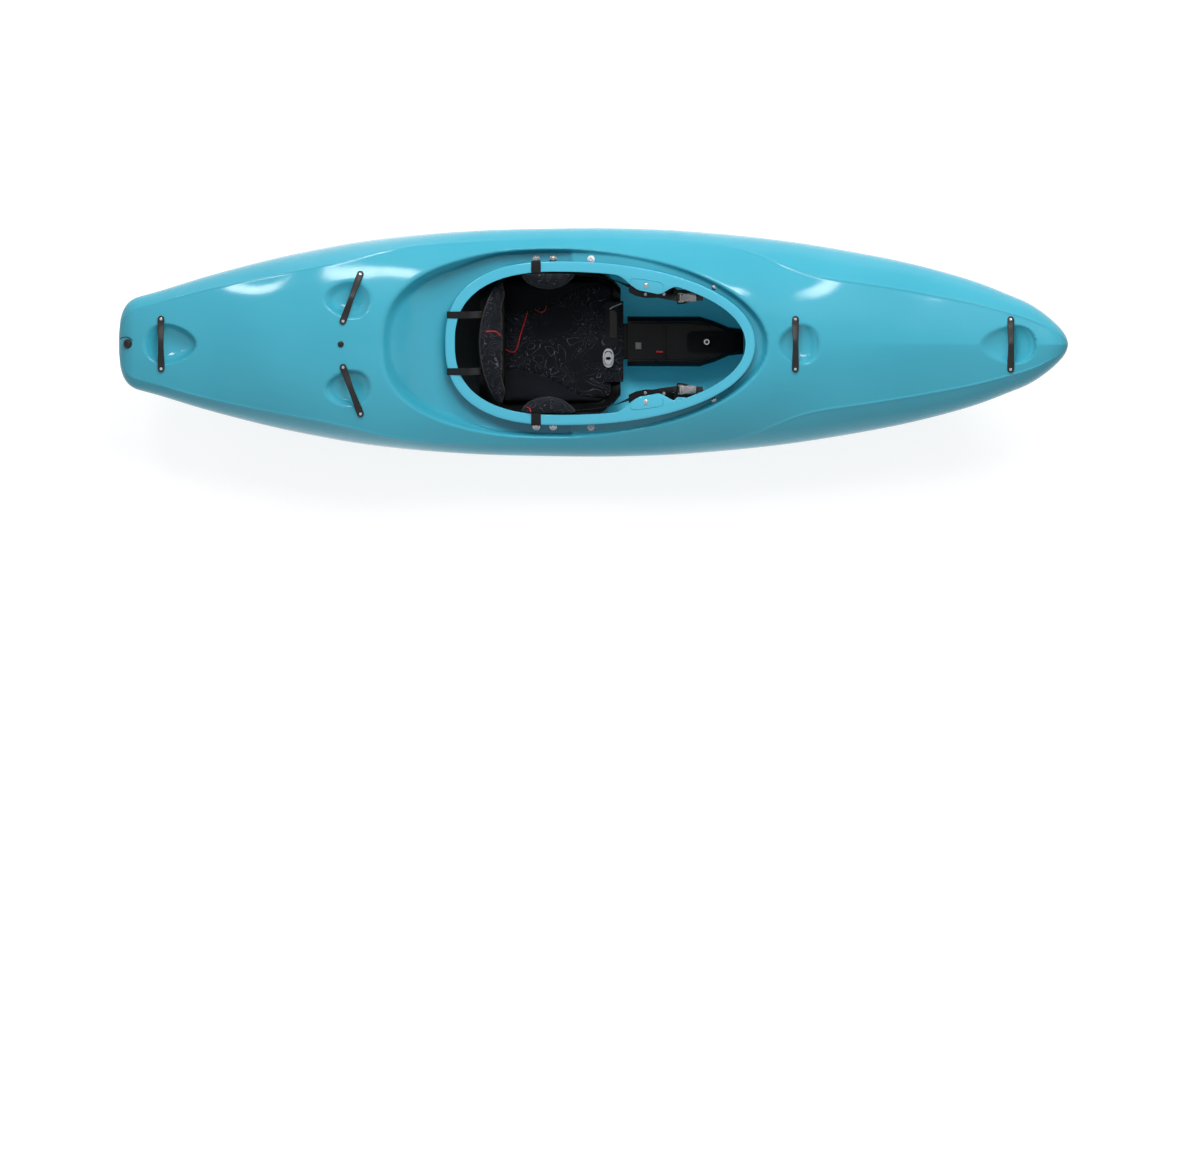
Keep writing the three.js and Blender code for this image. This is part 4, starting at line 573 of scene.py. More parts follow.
for i, (out_by, drop) in enumerate(rim_profile):
    if out_by == "tab":
        x, y = edge_x, edge_y - np.sign(edge_y) * (tab_reach(edge_x) - edge_back[i])
    else:
        x, y = oval_at(turns, out_by)
    rings.append(np.stack([x, y, rim_z(x) - drop], axis=-1))
rings.append(rings[0])
grid = np.stack(rings, axis=1)
coaming = welded(gridded("coaming", np.vstack([grid, grid[:1]])))


def ramp(tree, *stops):
    """A colour ramp through stops, each a position and a colour."""
    node = added(tree, "ValToRGB")
    elements = node.color_ramp.elements
    for i, (at, colour) in enumerate(stops):
        stop = elements[i] if i < 2 else elements.new(at)
        stop.position = at
        stop.color = (*colour, 1)
    return node


# The hull's plastic: through-coloured, softly glossy, with the faint orange peel of the mould and
# the slow waves of a large thin wall.
hull_plastic, shade = principled("hull_plastic", {"Specular IOR Level": 0.31})
tree = hull_plastic.node_tree
coords = added(tree, "TexCoord")
cloud = added(tree, "TexNoise", {"Scale": 3.0, "Detail": 3.0})
tint = ramp(tree, (0.3, (0.034, 0.288, 0.388)), (0.7, (0.042, 0.310, 0.412)))
grain = added(tree, "TexNoise", {"Scale": 160.0, "Detail": 4.0})
gloss = added(tree, "MapRange", {"To Min": 0.08, "To Max": 0.15})
peel = added(tree, "Bump", {"Strength": 0.05, "Distance": 0.001})
swell = added(tree, "TexNoise", {"Scale": 7.0, "Detail": 1.0})
waves = added(tree, "Bump", {"Strength": 1.0, "Distance": 0.0022})
wired(
    tree, (coords, "Object", cloud, "Vector"), (coords, "Object", grain, "Vector"),
    (coords, "Object", swell, "Vector"), (cloud, "Fac", tint, "Fac"),
    (tint, "Color", shade, "Base Color"), (grain, "Fac", gloss, "Value"),
    (gloss, "Result", shade, "Roughness"), (grain, "Fac", peel, "Height"),
    (swell, "Fac", waves, "Height"), (waves, "Normal", peel, "Normal"),
    (peel, "Normal", shade, "Normal"),
)


def node_of(material, kind):
    """The node of one kind that a material has."""
    return next(node for node in material.node_tree.nodes if node.type == kind)


def retoned(name, dark, light):
    """A copy of the hull's plastic in other tones, lighter ones that are painted light."""
    made = hull_plastic.copy()
    made.name = name
    for stop, colour in zip(node_of(made, "VALTORGB").color_ramp.elements, (dark, light)):
        stop.color = (*colour, 1)
    return made


# Inside, the same plastic is matt, with lighter tones and a weak glow painted on as daylight
# through the wall.
inside_plastic = retoned("hull_plastic_inside", (0.075, 0.50, 0.66), (0.085, 0.53, 0.70))
tree = inside_plastic.node_tree
shade, gloss = tree.nodes["Principled BSDF"], node_of(inside_plastic, "MAP_RANGE")
shade.inputs["Specular IOR Level"].default_value = 0.2
shade.inputs["Emission Strength"].default_value = 0.15
gloss.inputs["To Min"].default_value = 0.35
gloss.inputs["To Max"].default_value = 0.5
# painted shade: behind the seat the inside's colour turns near-black and its painted glow goes out
split = added(tree, "SeparateXYZ")
painted_shade_fade = added(
    tree, "MapRange", {"From Min": -0.33, "From Max": -0.27}, interpolation_type="SMOOTHSTEP"
)
painted_glow_tone = added(tree, "Mix", {"A": (0, 0, 0, 1), "B": (0.03, 0.30, 0.42, 1)}, data_type="RGBA")
painted_shade_tone = added(tree, "Mix", {"A": (0.004, 0.014, 0.018, 1)}, data_type="RGBA")
wired(
    tree, (node_of(inside_plastic, "TEX_COORD"), "Object", split, "Vector"),
    (split, "X", painted_shade_fade, "Value"), (painted_shade_fade, "Result", painted_glow_tone, "Factor"),
    (painted_shade_fade, "Result", painted_shade_tone, "Factor"),
    (node_of(inside_plastic, "VALTORGB"), "Color", painted_shade_tone, "B"),
    (painted_shade_tone, "Result", shade, "Base Color"), (painted_glow_tone, "Result", shade, "Emission Color"),
)


def placed(piece, body, node, look):
    """Fixes a finished piece to its body and in place of its CAD node, where it has either."""
    if body:
        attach(piece, body)
    if node:
        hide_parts(node)
    piece.data.materials.clear()
    piece.data.materials.append(look)


# The coaming's plastic is painted a shade lighter than the hull's: painted light on the rim.
painted_light_rim_plastic = retoned("hull_plastic_rim", (0.055, 0.345, 0.470), (0.063, 0.370, 0.500))
for piece, look in ((outer, hull_plastic), (inner, inside_plastic), (coaming, painted_light_rim_plastic)):
    placed(piece, "hull", "hull_shell", look)

# Foam pillars. Blocks of closed-cell foam, sawn from sheet and wedged between the bottom and the
# deck, one behind the seat and one ahead of the console.


def copied(node, name, flat=2.0):
    """A new piece with a CAD node's shape, its loose triangles joined and its flats made whole."""
    piece = bpy.data.objects.new(name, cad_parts[node].data.copy())
    bpy.context.collection.objects.link(piece)
    only(piece)
    bpy.ops.object.mode_set(mode="EDIT")
    bpy.ops.mesh.select_all(action="SELECT")
    bpy.ops.mesh.remove_doubles(threshold=2e-5)
    bpy.ops.mesh.dissolve_limited(angle_limit=math.radians(flat))
    bpy.ops.object.mode_set(mode="OBJECT")
    piece.data.materials.clear()
    return piece


def apply_all(piece):
    """Makes all of a piece's modifiers part of its mesh."""
    only(piece)
    for modifier in list(piece.modifiers):
        bpy.ops.object.modifier_apply(modifier=modifier.name)


def rounded(piece, width, steps=2, angle=40):
    """Rounds every edge sharper than the angle, then shades the piece smooth between edges."""
    bevel = piece.modifiers.new("edges", "BEVEL")
    bevel.width = width
    bevel.segments = steps
    bevel.limit_method = "ANGLE"
    bevel.angle_limit = math.radians(angle)
    apply_all(piece)
    bpy.ops.object.shade_smooth_by_angle(angle=math.radians(35))


def grained(name, dark, light, rough, scale, bump, metal=0.0, stretch=(1, 1, 1), shine=0.28):
    """A through-coloured material whose tone, gloss and relief all follow a fine grain."""
    specular = 0.5 if metal else shine
    made, shade = principled(name, {"Metallic": metal, "Specular IOR Level": specular})
    tree = made.node_tree
    coords = added(tree, "TexCoord")
    mapping = added(tree, "Mapping", {"Scale": stretch})
    grain = added(tree, "TexNoise", {"Scale": scale, "Detail": 5.0})
    cloud = added(tree, "TexNoise", {"Scale": 14.0, "Detail": 4.0})
    both = added(tree, "Math", operation="MULTIPLY")
    tone = ramp(tree, (0.12, dark), (0.42, light))
    gloss = added(tree, "MapRange", {"To Min": rough[0], "To Max": rough[1]})
    relief = added(tree, "Bump", {"Strength": bump, "Distance": 0.0006})
    wired(
        tree, (coords, "Object", mapping, "Vector"), (mapping, "Vector", grain, "Vector"),
        (coords, "Object", cloud, "Vector"), (grain, "Fac", both, 0), (cloud, "Fac", both, 1),
        (both, "Value", tone, "Fac"), (tone, "Color", shade, "Base Color"),
        (cloud, "Fac", gloss, "Value"), (gloss, "Result", shade, "Roughness"),
        (grain, "Fac", relief, "Height"), (relief, "Normal", shade, "Normal"),
    )
    return made


def dressed(node, name, body, look, width, steps=2, angle=40, flat=2.0):
    """A CAD node's shape with its edges rounded, put in place of that node."""
    piece = copied(node, name, flat)
    rounded(piece, width, steps, angle)
    placed(piece, body, node, look)
    return piece


foam = grained(
    "closed_cell_foam", (0.005, 0.005, 0.0055), (0.012, 0.012, 0.013), (0.8, 0.95), 420, 0.5,
    shine=0.1,
)
for node in ("rear_pillar", "front_pillar"):
    dressed(node, node + "_foam", "hull", foam, 0.003)

# Foot bulkhead. A moulded plate with a thick foam face slides on two aluminium rails that are
# bolted through the flanks.
black_moulded = grained(
    "black_moulded", (0.0055, 0.0055, 0.006), (0.016, 0.016, 0.017), (0.30, 0.46), 900, 0.16
)
aluminium = grained(
    "satin_aluminium", (0.36, 0.37, 0.39), (0.62, 0.63, 0.65), (0.24, 0.38), 260, 0.10, 1.0,
    (0.06, 1, 1),
)
for side in ("left", "right"):
    dressed("foot_rail_" + side, "foot_rail_bar_" + side, "hull", aluminium, 0.0012)
dressed("footplate", "footplate_board", "bulkhead", black_moulded, 0.003)
foot_foam = dressed("footplate_foam", "footplate_face", "bulkhead", foam, 0.006, 3)

# Seat pan. One deep tray with tall sides, vacuum-formed from black plastic sheet and hung below the
# moat on six bolts.
seat_plastic = grained(
    "seat_plastic", (0.003, 0.0033, 0.0036), (0.007, 0.0075, 0.008), (0.22, 0.36), 700, 0.10,
    shine=0.1,
)
dressed("seat_pan", "seat_tray", "hull", seat_plastic, 0.0018, 2, 50, 1.0)

# Seat cushion. A stretch cover over soft foam, sewn down along two side channels and filled until
# it crowns.


def puffed(piece, voxel, cap, pressure=4.0):
    """Remeshes a cushion evenly, fills it with a short cloth simulation and smooths the result."""
    skin_mesh = piece.modifiers.new("even", "REMESH")
    skin_mesh.mode = "VOXEL"
    skin_mesh.voxel_size = voxel
    apply_all(piece)
    start = points_of(piece.data)
    last_frame = 20
    cloth = piece.modifiers.new("fill", "CLOTH")
    cloth.settings.use_pressure = True
    cloth.settings.uniform_pressure_force = pressure
    cloth.settings.effector_weights.gravity = 0
    cloth.settings.quality = 5
    cloth.point_cache.frame_start = 1
    cloth.point_cache.frame_end = last_frame
    for frame_number in range(1, last_frame + 1):
        scene.frame_set(frame_number)
    apply_all(piece)
    scene.frame_set(1)
    move = points_of(piece.data) - start
    move -= move.mean(axis=0)
    far = np.linalg.norm(move, axis=1, keepdims=True)
    move *= np.minimum(1, cap / np.maximum(far, 1e-9))
    set_points(piece.data, start + move)
    relax = piece.modifiers.new("relax", "SMOOTH")
    relax.factor = 0.5
    relax.iterations = 6
    finer = piece.modifiers.new("finer", "SUBSURF")
    finer.levels = finer.render_levels = 1
    apply_all(piece)
    bpy.ops.object.shade_smooth()


def pressed(piece, line, width, depth):
    """Presses a sewn channel along a line of [x, y] points into whatever faces up."""
    co, normal = points_of(piece.data), points_of(piece.data, "normal")
    near = np.full(len(co), 1.0)
    for a, b in zip(line[:-1], line[1:]):
        a, b = np.array(a), np.array(b)
        t = np.clip(((co[:, :2] - a) @ (b - a)) / ((b - a) @ (b - a)), 0, 1)
        near = np.minimum(near, np.linalg.norm(co[:, :2] - (a + t[:, None] * (b - a)), axis=1))
    press = depth * np.exp(-((near / width) ** 2)) * np.clip(normal[:, 2] * 2, 0, 1)
    set_points(piece.data, co - normal * press[:, None])


# The cover's cloth: near-black, finely woven, with thin paler contour lines that fade out in
# patches and stop at the plain wings.
cover, shade = principled("stretch_cover", {
    "Sheen Weight": 0.05, "Specular IOR Level": 0.1, "Sheen Roughness": 0.5, "Roughness": 0.82,
})
tree = cover.node_tree
ground, drawn = (0.0055, 0.0066, 0.0088), (0.08075, 0.08075, 0.09775)
coords = added(tree, "TexCoord")
warp = added(tree, "TexNoise", {"Scale": 15.0, "Detail": 2.5, "Distortion": 0.7})
rings = added(tree, "Math", {1: 13.0}, operation="MULTIPLY")
parts = added(tree, "Math", operation="FRACT")
line = ramp(
    tree, (0.0, ground), (0.90, (0.0075, 0.0088, 0.0116)), (0.925, drawn), (0.965, drawn),
    (1.0, ground),
)
patch = added(tree, "TexNoise", {"Scale": 9.0, "Detail": 1.0})
worn = added(tree, "MapRange", {"From Min": 0.34, "From Max": 0.50})
mixed = added(tree, "Mix", {"A": (0.006, 0.0072, 0.0095, 1)}, data_type="RGBA")
weave_a = added(tree, "TexWave", {"Scale": 420.0})
weave_b = added(tree, "TexWave", {"Scale": 420.0}, bands_direction="Y")
weave = added(tree, "Math", operation="MAXIMUM")
relief = added(tree, "Bump", {"Strength": 0.35, "Distance": 0.0005})
plain_at = added(tree, "Attribute", attribute_name="plain")
shown = added(tree, "Math", operation="SUBTRACT", use_clamp=True)
for texture in (warp, patch, weave_a, weave_b):
    wired(tree, (coords, "Object", texture, "Vector"))
wired(
    tree, (warp, "Fac", rings, 0), (rings, "Value", parts, 0), (parts, "Value", line, "Fac"),
    (patch, "Fac", worn, "Value"), (worn, "Result", shown, 0), (plain_at, "Fac", shown, 1),
    (shown, "Value", mixed, "Factor"), (line, "Color", mixed, "B"),
    (mixed, "Result", shade, "Base Color"), (weave_a, "Fac", weave, 0), (weave_b, "Fac", weave, 1),
    (weave, "Value", relief, "Height"), (relief, "Normal", shade, "Normal"),
)

cushion = copied("seat_pad", "seat_cushion")
puffed(cushion, voxel=0.005, cap=0.006)


def wing(piece, line, rise, run):
    """Lifts the part of a cushion outside an S-shaped seam into a wing and marks it as plain."""
    co = points_of(piece.data)
    seam = np.interp(co[:, 0], [at[0] for at in line], [at[1] for at in line])
    out = np.abs(co[:, 1]) - seam
    low = co[:, 2].min()
    upper = np.clip((co[:, 2] - low) / 0.02, 0, 1)
    co[:, 2] += rise * ease(out / run) * upper
    set_points(piece.data, co)
    plain = piece.data.attributes.new("plain", "FLOAT", "POINT")
    plain.data.foreach_set("value", np.clip(out / 0.004 + 0.5, 0, 1))


seam_line = [(-0.262, 0.086), (-0.205, 0.083), (-0.150, 0.099), (-0.106, 0.120), (-0.069, 0.143),
             (-0.032, 0.160), (0.016, 0.166), (0.060, 0.168)]
wing(cushion, seam_line, rise=0.020, run=0.060)
for side in (-1, 1):
    pressed(cushion, [(x, side * y) for x, y in seam_line], width=0.0045, depth=0.0045)
placed(cushion, "hull", "seat_pad", cover)

# Piping. Thin cords wrapped in red cloth, sewn along a few of the cushions' seams as they are
# closed.
piping = grained("red_piping", (0.30, 0.012, 0.018), (0.55, 0.03, 0.04), (0.5, 0.65), 900, 0.3)


def cord_on(name, carrier, places, body, radius=0.0017, look=piping, sink=0.6):
    """A thin cord or bead through places that are dropped onto the piece that carries it."""
    down = Vector((0, 0, -1))
    ground = carrier.evaluated_get(bpy.context.evaluated_depsgraph_get())
    hits = []
    for place in places:
        hit, where, normal = ground.ray_cast(Vector(place) - down * 0.08, down, distance=0.3)[:3]
        if hit:
            hits.append(where + normal * radius * sink)
    path = bpy.data.curves.new(name, "CURVE")
    path.dimensions = "3D"
    path.bevel_depth = radius
    path.bevel_resolution = 2
    path.use_fill_caps = True
    spline = path.splines.new("NURBS")
    spline.points.add(len(hits) - 1)
    for point, where in zip(spline.points, hits):
        point.co = (*where, 1)
    spline.use_endpoint_u = True
    spline.order_u = 4
    cord = bpy.data.objects.new(name, path)
    bpy.context.collection.objects.link(cord)
    only(cord)
    bpy.ops.object.convert(target="MESH")
    cord = bpy.context.object
    placed(cord, body, None, look)
    bpy.ops.object.shade_smooth()
    return cord


cord_on("seat_piping_rear", cushion, [
    (-0.190, 0.088, 0.1), (-0.194, 0.070, 0.1), (-0.204, 0.040, 0.1), (-0.214, 0.010, 0.1),
    (-0.218, -0.015, 0.1), (-0.226, -0.032, 0.1), (-0.240, -0.033, 0.1), (-0.252, -0.024, 0.1),
], "hull")
cord_on("seat_piping_front", cushion, [
    (-0.135, 0.104, 0.1), (-0.138, 0.090, 0.1), (-0.147, 0.084, 0.1), (-0.158, 0.086, 0.1),
    (-0.168, 0.094, 0.1),
], "hull")

# Centre console. A hollow moulding that ties the seat to the bulkhead, with a foam pad and a hand
# knob on top and a red pull tab in its recess.
console = dressed(
    "centre_console", "console_body", "hull", seat_plastic, 0.004, 3, 30
)
console_pad = dressed("console_pad", "console_cushion", "hull", foam, 0.003, 3, 30)


def turned(name, profile, around, place, axis, corners=0):
    """A turned piece from [radius, height] pairs. Corners makes the rows marked so a socket."""
    turns = np.linspace(0, 2 * np.pi, around + 1)
    rows = []
    for row in profile:
        radius = np.full(around + 1, row[0])
        if len(row) > 2:
            part = np.mod(turns, 2 * np.pi / corners) - np.pi / corners
            radius = row[0] / np.cos(part)
        rows.append(np.stack([radius * np.cos(turns), radius * np.sin(turns),
                              np.full(around + 1, row[1])], axis=-1))
    places = np.stack(rows, axis=0)
    lean = Vector((0, 0, 1)).rotation_difference(Vector(axis)).to_matrix()
    places = places @ np.array(lean).T + np.array(place)
    return welded(gridded(name, places))


def boxed(name, low, high, width, body, look):
    """A small moulded block with rounded edges between two corners."""
    bpy.ops.object.select_all(action="DESELECT")
    bpy.ops.mesh.primitive_cube_add(size=1)
    piece = bpy.context.object
    piece.name = name
    low, high = np.array(low), np.array(high)
    set_points(piece.data, (points_of(piece.data) + 0.5) * (high - low) + low)
    rounded(piece, width, 3, 30)
    placed(piece, body, None, look)


def mirrored_name(name, side):
    return name + ("_left" if side > 0 else "_right")


def console_top(x):
    """The height of the console's top at x."""
    return np.interp(x, [0.100, 0.130, 0.180, 0.276, 0.440], [0.112, 0.121, 0.126, 0.134, 0.136])


ridge = ((0.112, 0.055), (0.16, 0.055), (0.22, 0.055), (0.28, 0.055), (0.32, 0.053), (0.345, 0.046))
for side in (-1, 1):
    cord_on(mirrored_name("console_ridge", side), console, [(x, side * y, 0.2) for x, y in ridge],
            "hull", 0.0035, seat_plastic, 0.2)
catch_grey = grained("catch_grey", (0.05, 0.05, 0.05), (0.16, 0.16, 0.16), (0.3, 0.45), 500, 0.15)
red_tab = grained("red_pull_tab", (0.35, 0.010, 0.016), (0.60, 0.025, 0.035), (0.4, 0.55), 700, 0.2)
for name, low, high, edge, slot, look in (
    ("tongue", (0.0828, -0.052, 0.060), (0.106, 0.052, 0.0965), 0.003,
     "black_plastic", seat_plastic),
    ("bridge", (0.205, -0.045, console_top(0.205)), (0.215, 0.045, console_top(0.21) + 0.003),
     0.0012, "black_plastic", seat_plastic),
    ("catch", (0.125, -0.022, console_top(0.125) - 0.001),
     (0.143, -0.002, console_top(0.143) + 0.003), 0.0012, "grey_plastic", catch_grey),
    ("pull_tab", (0.186, -0.032, console_top(0.186) - 0.001),
     (0.211, -0.027, console_top(0.2) + 0.0035), 0.0008, "fabric", red_tab),
):
    boxed("console_" + name, low, high, edge, "hull", look)

knob_x, knob_top = 0.333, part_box("console_knob")[1][2]
knob = turned("console_hand_knob", [
    (0.0, 0.0), (0.0105, 0.0), (0.0118, 0.0008), (0.0120, 0.0020), (0.0120, 0.0060),
    (0.0115, 0.0078), (0.0100, 0.0088), (0.0075, 0.0090), (0.0070, 0.0084), (0.0066, 0.0066),
    (0.0030, 0.0064), (0.0028, 0.0078), (0.0, 0.0080),
], 36, (knob_x, 0, knob_top - 0.009), (0, 0, 1))
placed(knob, "hull", "console_knob", black_moulded)
ring = turned("console_knob_ring", [
    (0.0052, 0.0), (0.0078, 0.0), (0.0080, 0.0010), (0.0066, 0.0014), (0.0052, 0.0010),
    (0.0052, 0.0),
], 32, (knob_x, 0, knob_top - 0.0004), (0, 0, 1))
placed(ring, "hull", None, aluminium)

# Hip pads. Lens-shaped cushions in the seat's cover cloth, each hung from a strap that loops over
# the coaming.
hip_left = copied("hip_pad_left", "hip_cushion_left")
puffed(hip_left, voxel=0.0045, cap=0.005)
co = points_of(hip_left.data)
low, high = (np.array(corner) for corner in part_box("hip_pad_left"))
centre, reach = (low + high) / 2, (high - low) / 2
across = (co[:, [0, 2]] - centre[[0, 2]]) / reach[[0, 2]]
outline = (np.abs(across) ** 4.5).sum(axis=1) ** (1 / 4.5)
rounder = np.abs(across).max(axis=1) / np.maximum(outline, 1e-6)
co[:, [0, 2]] = centre[[0, 2]] + across * reach[[0, 2]] * rounder[:, None]
inward = np.clip((high[1] - co[:, 1]) / (2 * reach[1]), 0, 1)
crown_share = np.clip(1 - outline ** 2.6, 0, 1)
bulge = 0.42 + 0.58 * crown_share ** 0.6
co[:, 1] = high[1] - (high[1] - co[:, 1]) * bulge - 0.007 * ease(inward) * crown_share
set_points(hip_left.data, co)
hip_right = bpy.data.objects.new("hip_cushion_right", hip_left.data.copy())
bpy.context.collection.objects.link(hip_right)
only(hip_right)
bpy.ops.object.mode_set(mode="EDIT")
bpy.ops.mesh.select_all(action="SELECT")
bpy.ops.transform.mirror(constraint_axis=(False, True, False), center_override=(0, 0, 0))
bpy.ops.mesh.normals_make_consistent(inside=False)
bpy.ops.object.mode_set(mode="OBJECT")
placed(hip_left, "hull", "hip_pad_left", cover)
placed(hip_right, "hull", "hip_pad_right", cover)

# Webbing and hip straps. Flat black nylon, woven with ribs across it; each strap runs from its pad
# up over the coaming and hooks below the flange's lip.
webbing, shade = principled("nylon_webbing", {
    "Sheen Weight": 0.08, "Specular IOR Level": 0.12, "Roughness": 0.68,
})
tree = webbing.node_tree
lay = added(tree, "UVMap", uv_map="UVMap")
ribs = added(tree, "TexWave", {"Scale": 200.0, "Distortion": 1.2}, bands_direction="Y")
cords = added(tree, "TexWave", {"Scale": 120.0})
woven = added(tree, "Math", operation="MULTIPLY")
shades = ramp(tree, (0.0, (0.0045, 0.0045, 0.005)), (1.0, (0.020, 0.020, 0.022)))
lift = added(tree, "Bump", {"Strength": 0.5, "Distance": 0.0005})
wired(
    tree, (lay, "UV", ribs, "Vector"), (lay, "UV", cords, "Vector"), (ribs, "Fac", woven, 0),
    (cords, "Fac", woven, 1), (woven, "Value", shades, "Fac"),
    (shades, "Color", shade, "Base Color"), (woven, "Value", lift, "Height"),
    (lift, "Normal", shade, "Normal"),
)


def smooth_path(points, count):
    """Points spread evenly along a smooth curve through the given ones."""
    points = np.array(points, float)
    ends = np.vstack([2 * points[0] - points[1], points, 2 * points[-1] - points[-2]])
    fine = []
    for p0, p1, p2, p3 in zip(ends[:-3], ends[1:-2], ends[2:-1], ends[3:]):
        for t in np.linspace(0, 1, 24, endpoint=False):
            fine.append(0.5 * (2 * p1 + (p2 - p0) * t + (2 * p0 - 5 * p1 + 4 * p2 - p3) * t * t
                               + (3 * p1 - p0 - 3 * p2 + p3) * t ** 3))
    fine.append(points[-1])
    fine = np.array(fine)
    run = np.concatenate([[0], np.cumsum(np.linalg.norm(np.diff(fine, axis=0), axis=1))])
    even = np.linspace(0, run[-1], count)
    return np.stack([np.interp(even, run, fine[:, i]) for i in range(3)], axis=-1)


def strap(name, path, across, width, thickness, ripple=0.0, pitch=0.005):
    """A flat strap along a path, with rounded selvedges, its UV map in metres."""
    path = np.array(path)
    across = np.broadcast_to(np.array(across, float), path.shape)
    along = np.gradient(path, axis=0)
    along /= np.linalg.norm(along, axis=1, keepdims=True)
    across = across - along * (across * along).sum(axis=1, keepdims=True)
    across /= np.linalg.norm(across, axis=1, keepdims=True)
    face = np.cross(along, across)
    half, edge = width / 2, thickness / 2
    face_line = [(-half + edge * 0.4, edge * 0.8), (-half + edge, edge), (-half * 0.33, edge),
                 (half * 0.33, edge), (half - edge, edge), (half - edge * 0.4, edge * 0.8)]
    back_line = [(-a, -b) for a, b in face_line]
    profile = [(-half, 0), *face_line, (half, 0), *back_line, (-half, 0)]
    run = np.concatenate([[0], np.cumsum(np.linalg.norm(np.diff(path, axis=0), axis=1))])
    wave = ripple * (np.sin(run / pitch * 2 * np.pi) > 0)
    rows = [path + across * a + face * (b + (wave[:, None] if b > 0 else 0)) for a, b in profile]
    piece = gridded(name, np.stack(rows, axis=1))
    girth = np.concatenate([[0], np.cumsum(np.hypot(*np.diff(np.array(profile), axis=0).T))])
    spots = piece.data.uv_layers[0].data
    for loop in piece.data.loops:
        row, column = divmod(loop.vertex_index, len(profile))
        spots[loop.index].uv = (girth[column], run[row])
    return welded(piece, 50, capped=True)


hip_x, hip_width, strap_gap, lip_drop = -0.1635, 0.028, 0.0009, 0.012
strap_front, strap_rear = hip_x + hip_width / 2, hip_x - hip_width / 2
hip_top = float(rim_z(np.array(strap_front))) + strap_gap
hip_low = float(rim_z(np.array(strap_rear))) - lip_drop - strap_gap
share = abs((strap_front - cockpit_x) / (opening_rear + flange_out))
turn_at = math.acos(min(1, share ** (opening_rear_power / 2)))
flange_y = float(abs(oval_at(np.array(np.pi - turn_at), flange_out)[1])) + strap_gap
for side in (1, -1):
    corners = [(0.2023, hip_top - 0.034), (0.2023, hip_top - 0.004), (0.2040, hip_top - 0.0008),
               (0.2070, hip_top + 0.0004), (0.2200, hip_top + 0.0012),
               (flange_y - 0.004, hip_top + 0.0002),
               (flange_y - 0.001, hip_top - 0.001), (flange_y + 0.0003, hip_top - 0.004),
               (flange_y, hip_low + 0.003), (flange_y - 0.002, hip_low + 0.0003),
               (flange_y - 0.011, hip_low)]
    path = smooth_path([(hip_x, side * y, z) for y, z in corners], 60)
    hip_strap = strap(mirrored_name("hip_webbing", side), path, (1, 0, 0), hip_width, 0.0016)
    placed(hip_strap, "hull", mirrored_name("hip_strap", side), webbing)

# Backband. A bent plastic plate behind a sewn cushion that is filled like the seat's, slung
# between two straps at the rear and two that run forward to the ratchets.
dressed(
    "backband_shell", "backband_plate", "backband", black_moulded, 0.0012, 2, 50,
    0.5,
)
back_cushion = copied("backband_pad", "backband_cushion")
puffed(back_cushion, voxel=0.0042, cap=0.006)
# the band is bent round an upright line: the line's x, and the radii to its cushion's and its
# plate's rear faces; then the cushion's thickness and how far forward its middle reaches
bend_x, cushion_bend, plate_bend = -0.006, 0.3186, 0.323
back_thick, back_reach = 0.024, -0.2585
co = points_of(back_cushion.data)
bow_back = bend_x - np.sqrt(cushion_bend ** 2 - co[:, 1] ** 2)
forward = np.clip((co[:, 0] - bow_back) / back_thick, 0, 1)
room = np.maximum(back_reach - (bow_back + back_thick), 0)
panel = 0.0035 * np.abs(np.cos(co[:, 1] / 0.062 * np.pi)) ** 0.5 - 0.0035
horn = 0.010 * ease((np.abs(co[:, 1]) - 0.10) / 0.045)
co[:, 0] += (room + panel + horn) * forward * (0.35 + 0.65 * ease((co[:, 2] - 0.13) / 0.09))
set_points(back_cushion.data, co)
placed(back_cushion, "backband", "backband_pad", cover)
cord_on("backband_piping", back_cushion, [
    (-0.268, 0.020, 0.33), (-0.272, 0.028, 0.33), (-0.280, 0.033, 0.33), (-0.290, 0.035, 0.33),
    (-0.300, 0.034, 0.33), (-0.309, 0.032, 0.33),
], "backband")
cord_on("hip_piping", hip_right, [
    (-0.190, -0.186, 0.36), (-0.185, -0.187, 0.36), (-0.181, -0.190, 0.36), (-0.179, -0.194, 0.36),
    (-0.179, -0.198, 0.36),
], "hull")

# Rear straps. Webbing that rises from the backband's plate and hooks over the rear of the coaming.
rear_y, rear_half = 0.082, 0.010
rear_turns = np.linspace(np.pi / 2, np.pi, 400)


def rear_rim_x(y, out):
    """The x of the cockpit's rear edge, widened by out, at y to port."""
    x, at = oval_at(rear_turns, out)
    return float(np.interp(-y, -at, x))


